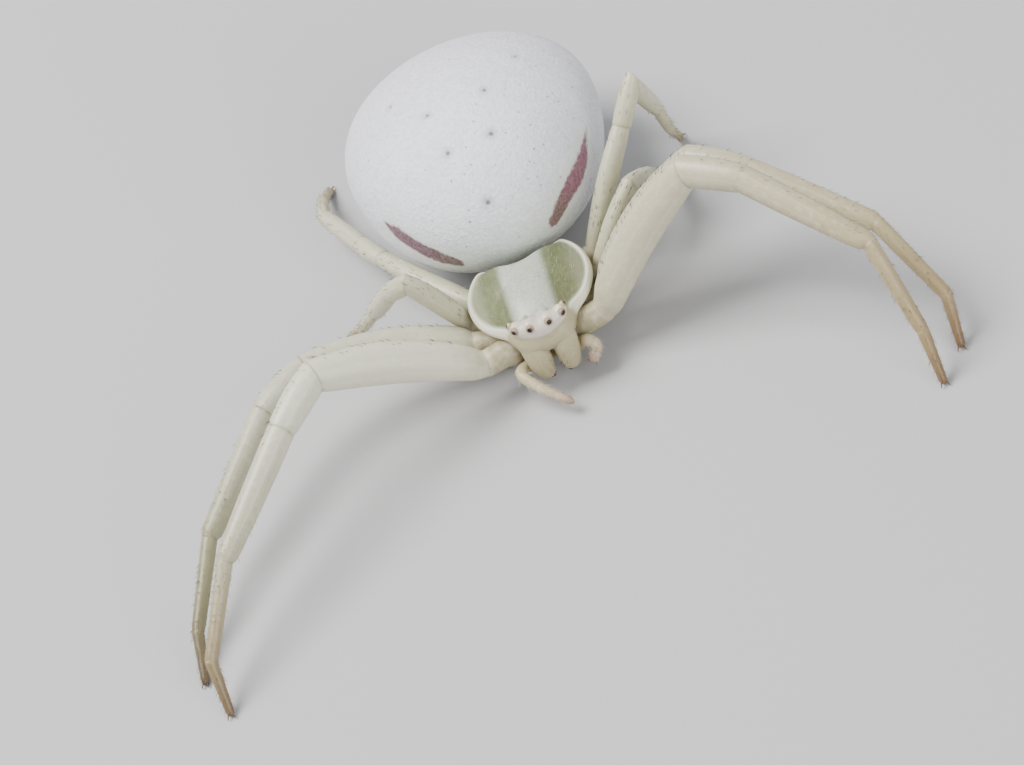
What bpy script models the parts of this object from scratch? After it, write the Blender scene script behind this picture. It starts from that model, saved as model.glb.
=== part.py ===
"""A female flower crab spider, life size, as one still model.

She crouches with her belly on the ground. The two long pairs of front legs are spread
to the sides with their feet forward, and the two short pairs hold on behind them.
She faces -Y, her left is +X and up is +Z. The origin lies on the ground, within the
flat that her belly rests on.
"""

import bmesh
import bpy
import numpy as np

# The sizes are in millimetres, and the meshes are made in metres
MM = 0.001

# Edges that turn by more than this many degrees stay sharp
SHARP_ANGLE = 50.0

# Gaps between pieces that touch: the thin skin of a joint, and the edge of an eye
JOINT_GAP = 0.08
EYE_GAP = 0.03

# Abdomen, turned a little about the waist. Its lower front is drawn back and broader.
ABDOMEN_LENGTH = 6.83
ABDOMEN_WIDTH = 6.43
ABDOMEN_MIDDLE = (0.0, 0.354, 2.2)
ABDOMEN_TOP = 2.465
ABDOMEN_BOTTOM = 2.255
ABDOMEN_TAPER = 0.186
ABDOMEN_SHOULDER = -0.048
ABDOMEN_TUCK = 0.21
ABDOMEN_LOW_BREADTH = 0.26
ABDOMEN_TURN = 1.94
WAIST_PLACE = (0.0, -3.0)
ABDOMEN_SIDES = 44
ABDOMEN_RINGS = 26

# Carapace: the shield over the front body, round seen from above, with the face standing
# forward from it and the back hollowed to follow the abdomen
CARAPACE_MIDDLE = (0.0, -4.04)
CARAPACE_RADIUS = 1.58
BACK_REACH = 0.84
BACK_HOLLOW = 0.22
BACK_BLEND = 0.12
FACE_JUT = 0.42
FACE_JUT_ANGLE = 28.0
FACE_JUT_POWER = 4
CARAPACE_FLOOR = 1.32
CARAPACE_FLOOR_SHARE = 0.85
CARAPACE_EDGE = 1.50
CARAPACE_RIM = 1.60
CARAPACE_TOP = 2.33
FACE_EDGE_DROP = 0.16
FACE_RIM_DROP = 0.20
CARAPACE_SIDES = 56
RIM_LIP = 0.07
RIM_LIP_SHARE = 0.96
RIM_LIP_SPREAD = 0.035
DOME_POWER = 2.0
DOME_SLOPE = 1.15
FACE_POWER_RISE = 2.0
FACE_SLOPE_DROP = 0.65
CARAPACE_SHARES = (0.998, 0.985, 0.96, 0.93, 0.90, 0.84, 0.76, 0.66, 0.54, 0.40, 0.25, 0.10)
# Angles off the front up to which the rim is low and the dome steep, and where both end
FACE_RIM_ANGLES = (18.0, 34.0)
FACE_DOME_ANGLES = (4.0, 60.0)

# Eyes, for the spider's left side: across, forward place and height, and radius
EYES = {
    "eye_front_middle": (0.237, -5.90, 2.085, 0.085),
    "eye_front_outer": (0.605, -5.75, 2.06, 0.085),
    "eye_rear_outer": (0.685, -5.59, 2.15, 0.075),
    "eye_rear_middle": (0.255, -5.55, 2.165, 0.060),
}
BROW_RADIUS = 0.25
BROW_HALF_WIDTH = 0.62
BROW_FRONT = -5.76
BROW_BACK_SWEEP = 0.12
BROW_HEIGHT = 1.90
BROW_RISE = 0.13
BROW_NARROWING = 0.8
TUBERCLE_RADIUS = 0.19
TUBERCLE_SHIFT = (-0.057, 0.085, -0.066)

# Underside
STERNUM_HALF_WIDTH = 0.56
STERNUM_HALF_LENGTH = 0.82
STERNUM_MIDDLE = (0.0, -4.55)
STERNUM_BOTTOM = 0.42
STERNUM_TOP = 1.24
STERNUM_LEVELS = ((0.55, 0.0), (0.85, 0.04), (0.97, 0.12), (1.0, 0.22), (1.0, 1.0))
LIP_MIDDLE = (0.0, -5.57, 0.80)
LIP_RADIUS = 0.15
PAD_ROOT = (0.24, -5.52, 1.00)
PAD_TIP = (0.19, -5.63, 0.58)
PAD_RADIUS = 0.14
PAD_TAPER = (0.7, 1.0, 1.1, 1.0, 0.5)
PAD_DEPTH_SHARE = 1.1
PEDICEL_FRONT = (0.0, -3.60, 0.92)
PEDICEL_BACK = (0.0, -2.35, 0.98)
PEDICEL_RADIUS = 0.24

# Spinning cones under the back of the abdomen
SPINNERET_BASE = (-0.20, 3.00, 0.86)
SPINNERET_BASE_RADIUS = 0.40
SPINNERET_PLACES = ((0.19, 0.10), (0.08, -0.02), (0.17, -0.16))
CONE_RADIUS = 0.13
CONE_TAPER = (1.0, 0.85, 0.45)
CONE_REACH = (-0.015, 0.48, -0.27)

# Jaws and the feelers beside them
JAW_TOP = (0.36, -5.82, 1.27)
JAW_TIP = (0.27, -6.06, 0.56)
JAW_HALF_WIDTH = 0.34
JAW_TIP_HALF_WIDTH = 0.20
JAW_DEPTH_SHARE = 0.75
JAW_BULGE = (0.03, -0.06, 0.0)
JAW_RINGS = 8
FANG_RADIUS = 0.07
FANG_TAPER = (1.0, 0.9, 0.75, 0.5, 0.25)
FANG_ROOT = (0.03, 0.02, 0.03)
FANG_KNUCKLE = (-0.05, 0.04, -0.065)
FANG_POINT = (-0.13, 0.10, -0.06)
PALP_PATHS = {
    "left": ((0.64, -5.60, 0.72), (0.84, -5.81, 0.94), (0.98, -5.95, 0.78), (0.74, -6.05, 0.44)),
    "right": ((0.68, -5.58, 0.72), (0.91, -5.98, 0.88), (0.63, -6.42, 0.72), (0.31, -6.72, 0.54),
              (-0.03, -7.00, 0.36)),
}
PALP_RADIUS = 0.17
PALP_RINGS = 15
PALP_JOINT_DIP = 0.15
PALP_TAPER = {"left": 0.12, "right": 0.40}

# Legs: the length of each piece from the hip outwards
FEMUR, PATELLA, TIBIA, METATARSUS, TARSUS = range(5)
LEG_LENGTHS = {
    1: (4.40, 1.50, 3.40, 2.35, 1.35),
    2: (4.15, 1.45, 3.35, 2.30, 1.30),
    3: (2.15, 0.90, 1.50, 1.05, 0.80),
    4: (3.10, 1.00, 1.90, 1.20, 0.85),
}
# Half the thickness where each piece starts, and at the tip of the foot
LEG_RADII = {
    1: (0.42, 0.38, 0.34, 0.25, 0.21, 0.13),
    2: (0.42, 0.38, 0.33, 0.25, 0.21, 0.13),
    3: (0.24, 0.25, 0.24, 0.20, 0.18, 0.12),
    4: (0.24, 0.25, 0.24, 0.20, 0.18, 0.12),
}
# How much each piece swells between its ends, how far the thigh arches upwards, and the
# thickness from side to side as a share of the depth. The long thighs start narrow.
LEG_SWELL = (0.11, 0.03, 0.02, 0.0, 0.0)
THIGH_BASE_NARROWING = 0.22
THIGH_BASE_REACH = 0.28
SHORT_LEG_SWELL = (0.05, 0.02, 0.01, 0.0, 0.0)
THIGH_ARCH = 0.20
SHORT_THIGH_ARCH = 0.10
JOINT_PINCH = 0.10
JOINT_PINCH_REACH = 14.0
LEG_RINGS = (8, 5, 7, 6, 5)
SHORT_LEG_RINGS = (6, 4, 5, 4, 4)
LEG_WIDTH_SHARE = (0.86, 0.92, 0.95, 1.0, 1.0)
FOOT_HEIGHT = 0.03
# Roots of the legs, from the middle of the breast plate: outwards, forwards and height
HIP_INNER_AHEAD = {1: 0.66, 2: 0.22, 3: -0.22, 4: -0.66}
HIP_INNER_HEIGHT = 0.86
HIP_OUTER = {
    1: (1.15, 0.75, 1.10), 2: (1.38, 0.07, 0.98), 3: (1.38, -0.60, 0.93), 4: (1.14, -1.16, 0.92),
}
HIP_END = {
    ("left", 1): (1.46, 0.70, 1.13),
    ("left", 2): (1.63, -0.04, 0.97),
    ("left", 3): (1.68, -0.80, 1.00),
    ("left", 4): (1.68, -1.46, 1.00),
    ("right", 1): (1.61, 0.81, 1.08),
    ("right", 2): (1.74, -0.06, 1.00),
    ("right", 3): (1.72, -0.74, 1.00),
    ("right", 4): (1.46, -1.40, 1.00),
}
# Half the thickness of each hip at its bulge and of the ring beyond it, with the shares of
# the length and of the bulge along them
HIP_BULGE = {1: 0.34, 2: 0.27, 3: 0.25, 4: 0.25}
HIP_ROOT_PROFILE = ((0.0, 0.17), (0.3, 0.22))
HIP_BULGE_PROFILE = ((0.6, 0.96), (0.85, 1.0))
NECK_BULGE_PROFILE = ((0.15, 0.92),)
NECK_END_SHARE = 0.6
NECK_RADIUS = {1: 0.33, 2: 0.29, 3: 0.24, 4: 0.24}
LEG_SIDES = 12
LONG_LEG_NODES = {
    "femur": (FEMUR,), "patella": (PATELLA,), "tibia": (TIBIA,), "metatarsus": (METATARSUS,),
    "tarsus": (TARSUS,),
}
SHORT_LEG_NODES = {
    "femur": (FEMUR,), "patella_tibia": (PATELLA, TIBIA), "foot": (METATARSUS, TARSUS),
}
# Angles of each leg in degrees. Heading is forwards from straight out, lean tips the
# plane in which the leg bends backwards, and the slopes are those of its pieces in that
# plane, apart from the last, which comes down to the ground.
LEG_POSES = {
    ("left", 1): {"heading": 34.8, "lean": 30.6, "slopes": (54.2, -4.4, -24.4, -60.8)},
    ("left", 2): {"heading": 32.3, "lean": 35.1, "slopes": (50.5, -9.5, -20.8, -46.0)},
    ("left", 3): {"heading": -43.6, "lean": -17.4, "slopes": (42.0, -35.0, -55.0, -37.0)},
    ("left", 4): {"heading": -48.8, "lean": -10.3, "slopes": (41.3, 38.9, -66.0, -74.5)},
    ("right", 1): {"heading": 34.0, "lean": 35.7, "slopes": (39.9, -12.7, -20.1, -36.1)},
    ("right", 2): {"heading": 27.5, "lean": 56.7, "slopes": (33.7, -4.6, -24.5, -40.4)},
    ("right", 3): {"heading": -33.7, "lean": -12.6, "slopes": (68.0, -36.0, -49.3, -48.5)},
    ("right", 4): {"heading": -58.5, "lean": -51.9, "slopes": (5.8, -6.3, -10.6, -37.8)},
}
SIDE_SIGNS = {"left": 1, "right": -1}

# Colours as linear red, green and blue
COLOURS = {
    "abdomen": (0.72, 0.73, 0.78),
    "shield": (0.45, 0.50, 0.37),
    "leg": (0.60, 0.62, 0.52),
    "jaw": (0.50, 0.46, 0.36),
    "eye": (0.03, 0.015, 0.012),
}
SKIN_ROUGHNESS = 0.45
EYE_ROUGHNESS = 0.08


def clear_scene():
    """Remove whatever objects the file starts with."""
    for obj in list(bpy.data.objects):
        bpy.data.objects.remove(obj, do_unlink=True)


def make_material(name, colour, roughness):
    """A plain material for one kind of surface."""
    material = bpy.data.materials.new(name)
    material.use_nodes = True
    shader = material.node_tree.nodes["Principled BSDF"]
    shader.inputs["Base Color"].default_value = (*colour, 1.0)
    shader.inputs["Roughness"].default_value = roughness
    shader.inputs["Metallic"].default_value = 0.0
    return material


def add_object(name, bm, material):
    """Turn a bmesh in millimetres into a named object in metres, shaded smooth."""
    bmesh.ops.recalc_face_normals(bm, faces=bm.faces)
    bmesh.ops.scale(bm, vec=(MM, MM, MM), verts=bm.verts)
    mesh = bpy.data.meshes.new(name)
    bm.to_mesh(mesh)
    bm.free()
    mesh.shade_smooth()
    mesh.set_sharp_from_angle(angle=np.radians(SHARP_ANGLE))
    mesh.materials.append(material)
    obj = bpy.data.objects.new(name, mesh)
    bpy.context.scene.collection.objects.link(obj)
    return obj


def skin_rings(rings):
    """A closed body over rings of points, an array (ring, side, 3), with flat ends."""
    bm = bmesh.new()
    loops = [[bm.verts.new(point) for point in ring] for ring in rings]
    sides = len(loops[0])
    for lower, upper in zip(loops, loops[1:]):
        for k in range(sides):
            after = (k + 1) % sides
            bm.faces.new((lower[k], lower[after], upper[after], upper[k]))
    bm.faces.new(loops[0][::-1])
    bm.faces.new(loops[-1])
    return bm


def keep_largest_shell(bm):
    """Drop every loose scrap, keeping the connected surface with the most faces."""
    left = set(bm.faces)
    shells = []
    while left:
        stack = [left.pop()]
        shell = []
        while stack:
            face = stack.pop()
            shell.append(face)
            for edge in face.edges:
                for other in edge.link_faces:
                    if other in left:
                        left.discard(other)
                        stack.append(other)
        shells.append(shell)
    shells.sort(key=len)
    scraps = [face for shell in shells[:-1] for face in shell]
    bmesh.ops.delete(bm, geom=scraps, context="FACES")


def apply_boolean(obj, operation, tools):
    """Join the tools to an object or cut them from it, then remove them."""
    collection = bpy.data.collections.new("tools")
    for tool in tools:
        tool.hide_render = True
        tool.display_type = "WIRE"
        collection.objects.link(tool)
    modifier = obj.modifiers.new(operation.title(), "BOOLEAN")
    modifier.operation = operation
    modifier.solver = "EXACT"
    modifier.operand_type = "COLLECTION"
    modifier.collection = collection
    bpy.context.view_layer.update()
    shaped = obj.evaluated_get(bpy.context.evaluated_depsgraph_get())
    bm = bmesh.new()
    bm.from_mesh(shaped.to_mesh())
    obj.modifiers.clear()
    keep_largest_shell(bm)
    bm.to_mesh(obj.data)
    bm.free()
    obj.data.shade_smooth()
    obj.data.set_sharp_from_angle(angle=np.radians(SHARP_ANGLE))
    bpy.data.collections.remove(collection)
    for tool in tools:
        bpy.data.objects.remove(tool, do_unlink=True)


def grown_copy(obj, gap):
    """A copy of an object whose surface stands out by the gap, to cut with."""
    copy = obj.copy()
    copy.data = obj.data.copy()
    bpy.context.scene.collection.objects.link(copy)
    normals = [vertex.normal.copy() for vertex in copy.data.vertices]
    for vertex, normal in zip(copy.data.vertices, normals):
        vertex.co += normal * gap * MM
    return copy


def cut_clear(obj, neighbours, gap):
    """Cut an object back to the gap from the neighbours that it would touch."""
    for neighbour in neighbours:
        apply_boolean(obj, "DIFFERENCE", [grown_copy(neighbour, gap)])


def add_flat_foot(bm):
    """Slice a body off level with the ground and close it with one flat face."""
    geometry = bm.verts[:] + bm.edges[:] + bm.faces[:]
    cut = bmesh.ops.bisect_plane(
        bm, geom=geometry, dist=0.004, plane_co=(0, 0, 0), plane_no=(0, 0, -1), clear_outer=True
    )
    edges = [item for item in cut["geom_cut"] if isinstance(item, bmesh.types.BMEdge)]
    if edges:
        bmesh.ops.contextual_create(bm, geom=edges)


def smooth_step(value):
    """Rise smoothly from 0 to 1 as the value goes from 0 to 1."""
    value = np.clip(value, 0.0, 1.0)
    return value * value * (3.0 - 2.0 * value)


def ball(centre, radius, rings, sides):
    """A sphere as a bmesh in millimetres."""
    bm = bmesh.new()
    bmesh.ops.create_uvsphere(bm, u_segments=sides, v_segments=rings, radius=radius)
    bmesh.ops.translate(bm, vec=centre, verts=bm.verts)
    return bm


def tube_rings(path, half_widths, half_depths, across, sides):
    """Oval rings square to a path of points, one axis of each oval as near across as can be."""
    path = np.array(path, float)
    ahead = np.gradient(path, axis=0)
    ahead /= np.linalg.norm(ahead, axis=1)[:, None]
    deep = np.cross(ahead, np.array(across, float))
    deep /= np.linalg.norm(deep, axis=1)[:, None]
    wide = np.cross(deep, ahead)
    turns = np.linspace(0.0, 2.0 * np.pi, sides, endpoint=False)
    wide_part = np.array(half_widths)[:, None, None] * wide[:, None] * np.cos(turns)[:, None]
    deep_part = np.array(half_depths)[:, None, None] * deep[:, None] * np.sin(turns)[:, None]
    return path[:, None] + wide_part + deep_part


def smooth_path(points, count):
    """Points spaced evenly in parameter on a Catmull-Rom curve through the given ones."""
    knots = np.array(points, float)
    first = 2.0 * knots[0] - knots[1]
    last = 2.0 * knots[-1] - knots[-2]
    knots = np.vstack([first, knots, last])
    spans = len(points) - 1
    result = []
    for place in np.linspace(0.0, spans, count):
        k = min(int(place), spans - 1)
        t = place - k
        a, b, c, d = knots[k:k + 4]
        result.append(0.5 * (2 * b + (c - a) * t + (2 * a - 5 * b + 4 * c - d) * t ** 2
                             + (3 * b - a - 3 * c + d) * t ** 3))
    return np.array(result)


def make_abdomen(material):
    """The round hind body: a ball drawn out along Y, broader behind, flat where it rests."""
    turn = np.radians(ABDOMEN_TURN)
    bm = bmesh.new()
    bmesh.ops.create_uvsphere(
        bm, u_segments=ABDOMEN_SIDES, v_segments=ABDOMEN_RINGS, radius=1.0
    )
    for vert in bm.verts:
        across, up, back = vert.co
        width = 1.0 + ABDOMEN_TAPER * back - ABDOMEN_SHOULDER * back * back
        height = ABDOMEN_TOP if up > 0 else ABDOMEN_BOTTOM
        low_front = max(-back, 0.0) * max(-up, 0.0)
        x = across * width * (1.0 + ABDOMEN_LOW_BREADTH * low_front) * ABDOMEN_WIDTH / 2
        y = back * ABDOMEN_LENGTH / 2 + ABDOMEN_TUCK * low_front
        x += ABDOMEN_MIDDLE[0] - WAIST_PLACE[0]
        y += ABDOMEN_MIDDLE[1] - WAIST_PLACE[1]
        vert.co = (
            WAIST_PLACE[0] + np.cos(turn) * x - np.sin(turn) * y,
            WAIST_PLACE[1] + np.sin(turn) * x + np.cos(turn) * y,
            ABDOMEN_MIDDLE[2] + up * height,
        )
    add_flat_foot(bm)
    return add_object("abdomen", bm, material)


def make_spinnerets(material, abdomen):
    """Six short cones in a close group under the back of the abdomen."""
    base = ball(SPINNERET_BASE, SPINNERET_BASE_RADIUS, 8, 16)
    group = add_object("spinnerets", base, material)
    cones = []
    for across, along in SPINNERET_PLACES:
        for sign in (-1, 1):
            root = np.array(SPINNERET_BASE) + (sign * across, along * 0.3, -along)
            tip = root + np.array(CONE_REACH) * (sign, 1, 1)
            path = smooth_path([root, tip], len(CONE_TAPER))
            radii = CONE_RADIUS * np.array(CONE_TAPER)
            rings = tube_rings(path, radii, radii, (1, 0, 0), 8)
            cones.append(add_object("cone", skin_rings(rings), material))
    apply_boolean(group, "UNION", cones)
    cut_clear(group, [abdomen], JOINT_GAP)
    return group


def smaller_of(first, second, blend):
    """The smaller of two values, blended smoothly where they are nearly equal."""
    return (first + second - np.sqrt((first - second) ** 2 + blend ** 2)) / 2


def carapace_outline(turns):
    """The shield's outline from its middle, as distances across and back. A turn of 0
    points forwards and half a turn back, where the outline follows the abdomen."""
    off_front = np.abs((turns + np.pi) % (2 * np.pi) - np.pi)
    jut = FACE_JUT * np.exp(-((off_front / np.radians(FACE_JUT_ANGLE)) ** FACE_JUT_POWER))
    across = np.sin(turns) * (CARAPACE_RADIUS + jut)
    back = -np.cos(turns) * (CARAPACE_RADIUS + jut)
    return across, smaller_of(back, BACK_REACH + BACK_HOLLOW * across ** 2, BACK_BLEND)


def face_share(turns, angles):
    """How much each turn belongs to the face: 1 up to the first angle off the front, and 0
    from the second."""
    off_front = np.abs((turns + np.pi) % (2 * np.pi) - np.pi)
    whole, none = np.radians(angles)
    return 1.0 - smooth_step((off_front - whole) / (none - whole))


def carapace_height(turns, share):
    """Height of the shield at a share of its outline: steep at the face, sloping elsewhere
    from a low gutter inside the raised lip of the rim."""
    face = face_share(turns, FACE_RIM_ANGLES)
    steep = face_share(turns, FACE_DOME_ANGLES)
    rim = CARAPACE_RIM - FACE_RIM_DROP * face
    dome = (1.0 - share ** (DOME_POWER + FACE_POWER_RISE * steep)) ** (
        DOME_SLOPE - FACE_SLOPE_DROP * steep)
    lip = RIM_LIP * (1.0 - face) * np.exp(-(((share - RIM_LIP_SHARE) / RIM_LIP_SPREAD) ** 2))
    return rim + (CARAPACE_TOP - rim) * dome + lip


def make_carapace(material):
    """The shield, with its thin rim, the brow across the face and the eye knobs."""
    turns = np.linspace(0.0, 2.0 * np.pi, CARAPACE_SIDES, endpoint=False)
    across, back = carapace_outline(turns)
    levels = [(CARAPACE_FLOOR_SHARE, np.full_like(turns, CARAPACE_FLOOR))]
    levels.append((1.0, CARAPACE_EDGE - FACE_EDGE_DROP * face_share(turns, FACE_RIM_ANGLES)))
    levels += [(share, carapace_height(turns, share)) for share in CARAPACE_SHARES]
    rings = []
    for share, height in levels:
        x = CARAPACE_MIDDLE[0] + across * share
        y = CARAPACE_MIDDLE[1] + back * share
        rings.append(np.stack([x, y, height], axis=1))
    shield = add_object("carapace", skin_rings(rings), material)

    places = np.linspace(-1.0, 1.0, 9)
    path = np.stack([
        places * BROW_HALF_WIDTH,
        BROW_FRONT + BROW_BACK_SWEEP * places ** 2,
        BROW_HEIGHT + BROW_RISE * places ** 2,
    ], axis=1)
    thick = BROW_RADIUS * np.sqrt(1.0 - (places * BROW_NARROWING) ** 2)
    brow = add_object("brow", skin_rings(tube_rings(path, thick, thick, (0, 0, 1), 12)), material)
    knobs = []
    for sign in SIDE_SIGNS.values():
        low = np.array(EYES["eye_front_outer"][:3])
        high = np.array(EYES["eye_rear_outer"][:3])
        middle = ((low + high) / 2 + TUBERCLE_SHIFT) * (sign, 1, 1)
        knobs.append(add_object("knob", ball(middle, TUBERCLE_RADIUS, 8, 14), material))
    apply_boolean(shield, "UNION", [brow, *knobs])
    return shield


def make_eyes(material, carapace):
    """Eight small round eyes in two curved rows, each set in its own socket."""
    sockets = []
    for name, (across, ahead, height, radius) in EYES.items():
        for side, sign in SIDE_SIGNS.items():
            centre = (sign * across, ahead, height)
            add_object(f"{name}_{side}", ball(centre, radius, 7, 12), material)
            socket = ball(centre, radius + EYE_GAP, 7, 12)
            sockets.append(add_object("socket", socket, material))
    apply_boolean(carapace, "DIFFERENCE", sockets)


def sternum_half_width(ahead):
    """Half the width of the breast plate at a distance ahead of its middle."""
    share = np.clip(np.abs(ahead) / STERNUM_HALF_LENGTH, 0.0, 1.0)
    return STERNUM_HALF_WIDTH * (1.0 - share ** 3) ** (1 / 3)


def make_sternum(material):
    """The breast plate between the hips, slightly domed below."""
    turns = np.linspace(0.0, 2.0 * np.pi, 32, endpoint=False)
    across = np.sign(np.sin(turns)) * np.abs(np.sin(turns)) ** (2 / 3) * STERNUM_HALF_WIDTH
    ahead = np.sign(np.cos(turns)) * np.abs(np.cos(turns)) ** (2 / 3) * STERNUM_HALF_LENGTH
    rings = []
    for share, height in STERNUM_LEVELS:
        z = np.full_like(turns, STERNUM_BOTTOM + height * (STERNUM_TOP - STERNUM_BOTTOM))
        x = STERNUM_MIDDLE[0] + across * share
        y = STERNUM_MIDDLE[1] - ahead * share
        rings.append(np.stack([x, y, z], axis=1))
    return add_object("sternum", skin_rings(rings), material)


def make_mouthparts(material):
    """The lip and the two pads beside it, behind the jaws."""
    lip = add_object("mouthparts", ball(LIP_MIDDLE, LIP_RADIUS, 8, 14), material)
    pads = []
    for sign in SIDE_SIGNS.values():
        root = (sign * PAD_ROOT[0], PAD_ROOT[1], PAD_ROOT[2])
        tip = (sign * PAD_TIP[0], PAD_TIP[1], PAD_TIP[2])
        path = smooth_path([root, tip], len(PAD_TAPER))
        wide = PAD_RADIUS * np.array(PAD_TAPER)
        rings = tube_rings(path, wide, wide * PAD_DEPTH_SHARE, (1, 0, 0), 12)
        pads.append(add_object("pad", skin_rings(rings), material))
    apply_boolean(lip, "UNION", pads)
    return lip


def make_jaw(side, material):
    """One jaw: a stout piece bulging forwards, with its small fang folded in at the tip."""
    sign = SIDE_SIGNS[side]
    top = np.array(JAW_TOP) * (sign, 1, 1)
    tip = np.array(JAW_TIP) * (sign, 1, 1)
    middle = (top + tip) / 2 + np.array(JAW_BULGE) * (sign, 1, 1)
    path = smooth_path([top, middle, tip], JAW_RINGS)
    place = np.linspace(0.0, 1.0, JAW_RINGS)
    taper = JAW_HALF_WIDTH + (JAW_TIP_HALF_WIDTH - JAW_HALF_WIDTH) * place ** 2
    taper[-1] *= 0.6
    rings = tube_rings(path, taper, taper * JAW_DEPTH_SHARE, (1, 0, 0), 16)
    rings[0, :, 2] = JAW_TOP[2]
    jaw = add_object(f"jaw_{side}", skin_rings(rings), material)
    knots = [tip + np.array(knot) * (sign, 1, 1) for knot in (FANG_ROOT, FANG_KNUCKLE, FANG_POINT)]
    fang_path = smooth_path(knots, len(FANG_TAPER))
    radii = FANG_RADIUS * np.array(FANG_TAPER)
    fang_rings = tube_rings(fang_path, radii, radii, (0, 1, 0), 8)
    fang = add_object("fang", skin_rings(fang_rings), material)
    apply_boolean(jaw, "UNION", [fang])
    return jaw


def make_palp(side, material):
    """One short feeler, ringed at its joints, that bends round the jaw beside it."""
    sign = SIDE_SIGNS[side]
    points = [(sign * x, y, z) for x, y, z in PALP_PATHS[side]]
    path = smooth_path(points, PALP_RINGS)
    place = np.linspace(0.0, 1.0, PALP_RINGS)
    radii = PALP_RADIUS * (1.0 - PALP_JOINT_DIP * np.cos(place * 6.0 * np.pi))
    radii *= 1.0 - PALP_TAPER[side] * place
    radii[-1] *= 0.5
    rings = tube_rings(path, radii, radii, (0, 0, 1), 10)
    return add_object(f"palp_{side}", skin_rings(rings), material)


def make_pedicel(material, abdomen, carapace):
    """The narrow waist between the front body and the abdomen."""
    path = smooth_path([PEDICEL_FRONT, PEDICEL_BACK], 6)
    radii = np.full(6, PEDICEL_RADIUS)
    waist = add_object("pedicel", skin_rings(tube_rings(path, radii, radii, (1, 0, 0), 14)), material)
    cut_clear(waist, [abdomen, carapace], JOINT_GAP)
    return waist


def unit(vector):
    """The vector at length one."""
    return vector / np.linalg.norm(vector)


def leg_frame(side, number):
    """The level direction in which a leg leads out, and the rise of its bending plane."""
    pose = LEG_POSES[side, number]
    sign = SIDE_SIGNS[side]
    heading = np.radians(pose["heading"])
    lean = np.radians(pose["lean"])
    out = np.array((sign * np.cos(heading), -np.sin(heading), 0.0))
    back = np.array((sign * np.sin(heading), np.cos(heading), 0.0))
    rise = np.array((0.0, 0.0, np.cos(lean))) + np.sin(lean) * back
    return out, rise


def hip_points(side, number):
    """The inner end of a hip, its middle bend, and its outer end where the thigh starts."""
    inner_ahead = HIP_INNER_AHEAD[number]
    inner_across = sternum_half_width(inner_ahead) + JOINT_GAP
    places = [(inner_across, inner_ahead, HIP_INNER_HEIGHT), HIP_OUTER[number],
              HIP_END[side, number]]
    sign = SIDE_SIGNS[side]
    return [np.array((sign * across, STERNUM_MIDDLE[1] - ahead, height))
            for across, ahead, height in places]


def leg_joints(side, number):
    """The points where a leg's pieces meet, from the end of the hip to the tip."""
    out, rise = leg_frame(side, number)
    point = hip_points(side, number)[-1]
    joints = [point]
    slopes = np.radians(LEG_POSES[side, number]["slopes"])
    for length, slope in zip(LEG_LENGTHS[number], slopes):
        point = point + length * (np.cos(slope) * out + np.sin(slope) * rise)
        joints.append(point)
    length = LEG_LENGTHS[number][TARSUS]
    drop = np.clip((FOOT_HEIGHT - point[2]) / (length * rise[2]), -1.0, 1.0)
    slope = np.arcsin(drop)
    joints.append(point + length * (np.cos(slope) * out + drop * rise))
    return joints


def piece_rings(start, end, plane_before, plane_after, side_way, profile, width_share=1.0,
                arch=0.0):
    """Oval rings from one joint to the next, sheared so that both ends lie in their joints'
    planes. The profile is a list of (share of the length, half the depth)."""
    ahead = end - start
    length = np.linalg.norm(ahead)
    ahead = ahead / length
    wide = side_way - ahead * np.dot(side_way, ahead)
    wide /= np.linalg.norm(wide)
    deep = np.cross(ahead, wide)
    gap_before = JOINT_GAP / 2 / np.dot(plane_before, ahead)
    gap_after = JOINT_GAP / 2 / np.dot(plane_after, ahead)
    turns = np.linspace(0.0, 2.0 * np.pi, LEG_SIDES, endpoint=False)
    rings = []
    for share, radius in profile:
        offset = np.cos(turns)[:, None] * wide * width_share + np.sin(turns)[:, None] * deep
        offset = radius * offset + arch * np.sin(np.pi * share) * deep
        shift_before = gap_before - offset @ plane_before / np.dot(plane_before, ahead)
        shift_after = length - gap_after - offset @ plane_after / np.dot(plane_after, ahead)
        along = shift_before * (1.0 - share) + shift_after * share
        rings.append(start + offset + along[:, None] * ahead)
    return np.array(rings)


def thickness_profile(start, end, swell, count):
    """Shares and thicknesses along a piece that swells in the middle and pinches at its ends."""
    shares = (1.0 - np.cos(np.linspace(0.0, np.pi, count))) / 2
    near_ends = np.exp(-shares * JOINT_PINCH_REACH) + np.exp(-(1.0 - shares) * JOINT_PINCH_REACH)
    pinch = 1.0 - JOINT_PINCH * near_ends
    radii = (start + (end - start) * shares + swell * np.sin(np.pi * shares)) * pinch
    return list(zip(shares, radii))


def thigh_profile(length, start, end, swell, count):
    """The profile of a long thigh, which is rounded off to a narrow base."""
    return [(share, radius * (1.0 - THIGH_BASE_NARROWING
                              * np.exp(-((share * length / THIGH_BASE_REACH) ** 2))))
            for share, radius in thickness_profile(start, end, swell, count)]


def foot_profile(start, end, count):
    """Shares and thicknesses along the last piece, which ends in a rounded tip."""
    shares = np.linspace(0.0, 0.86, count)
    radii = start + (end - start) * shares
    tip = [(0.94, end * 0.93), (0.99, end * 0.65)]
    return list(zip(shares, radii)) + tip


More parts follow.
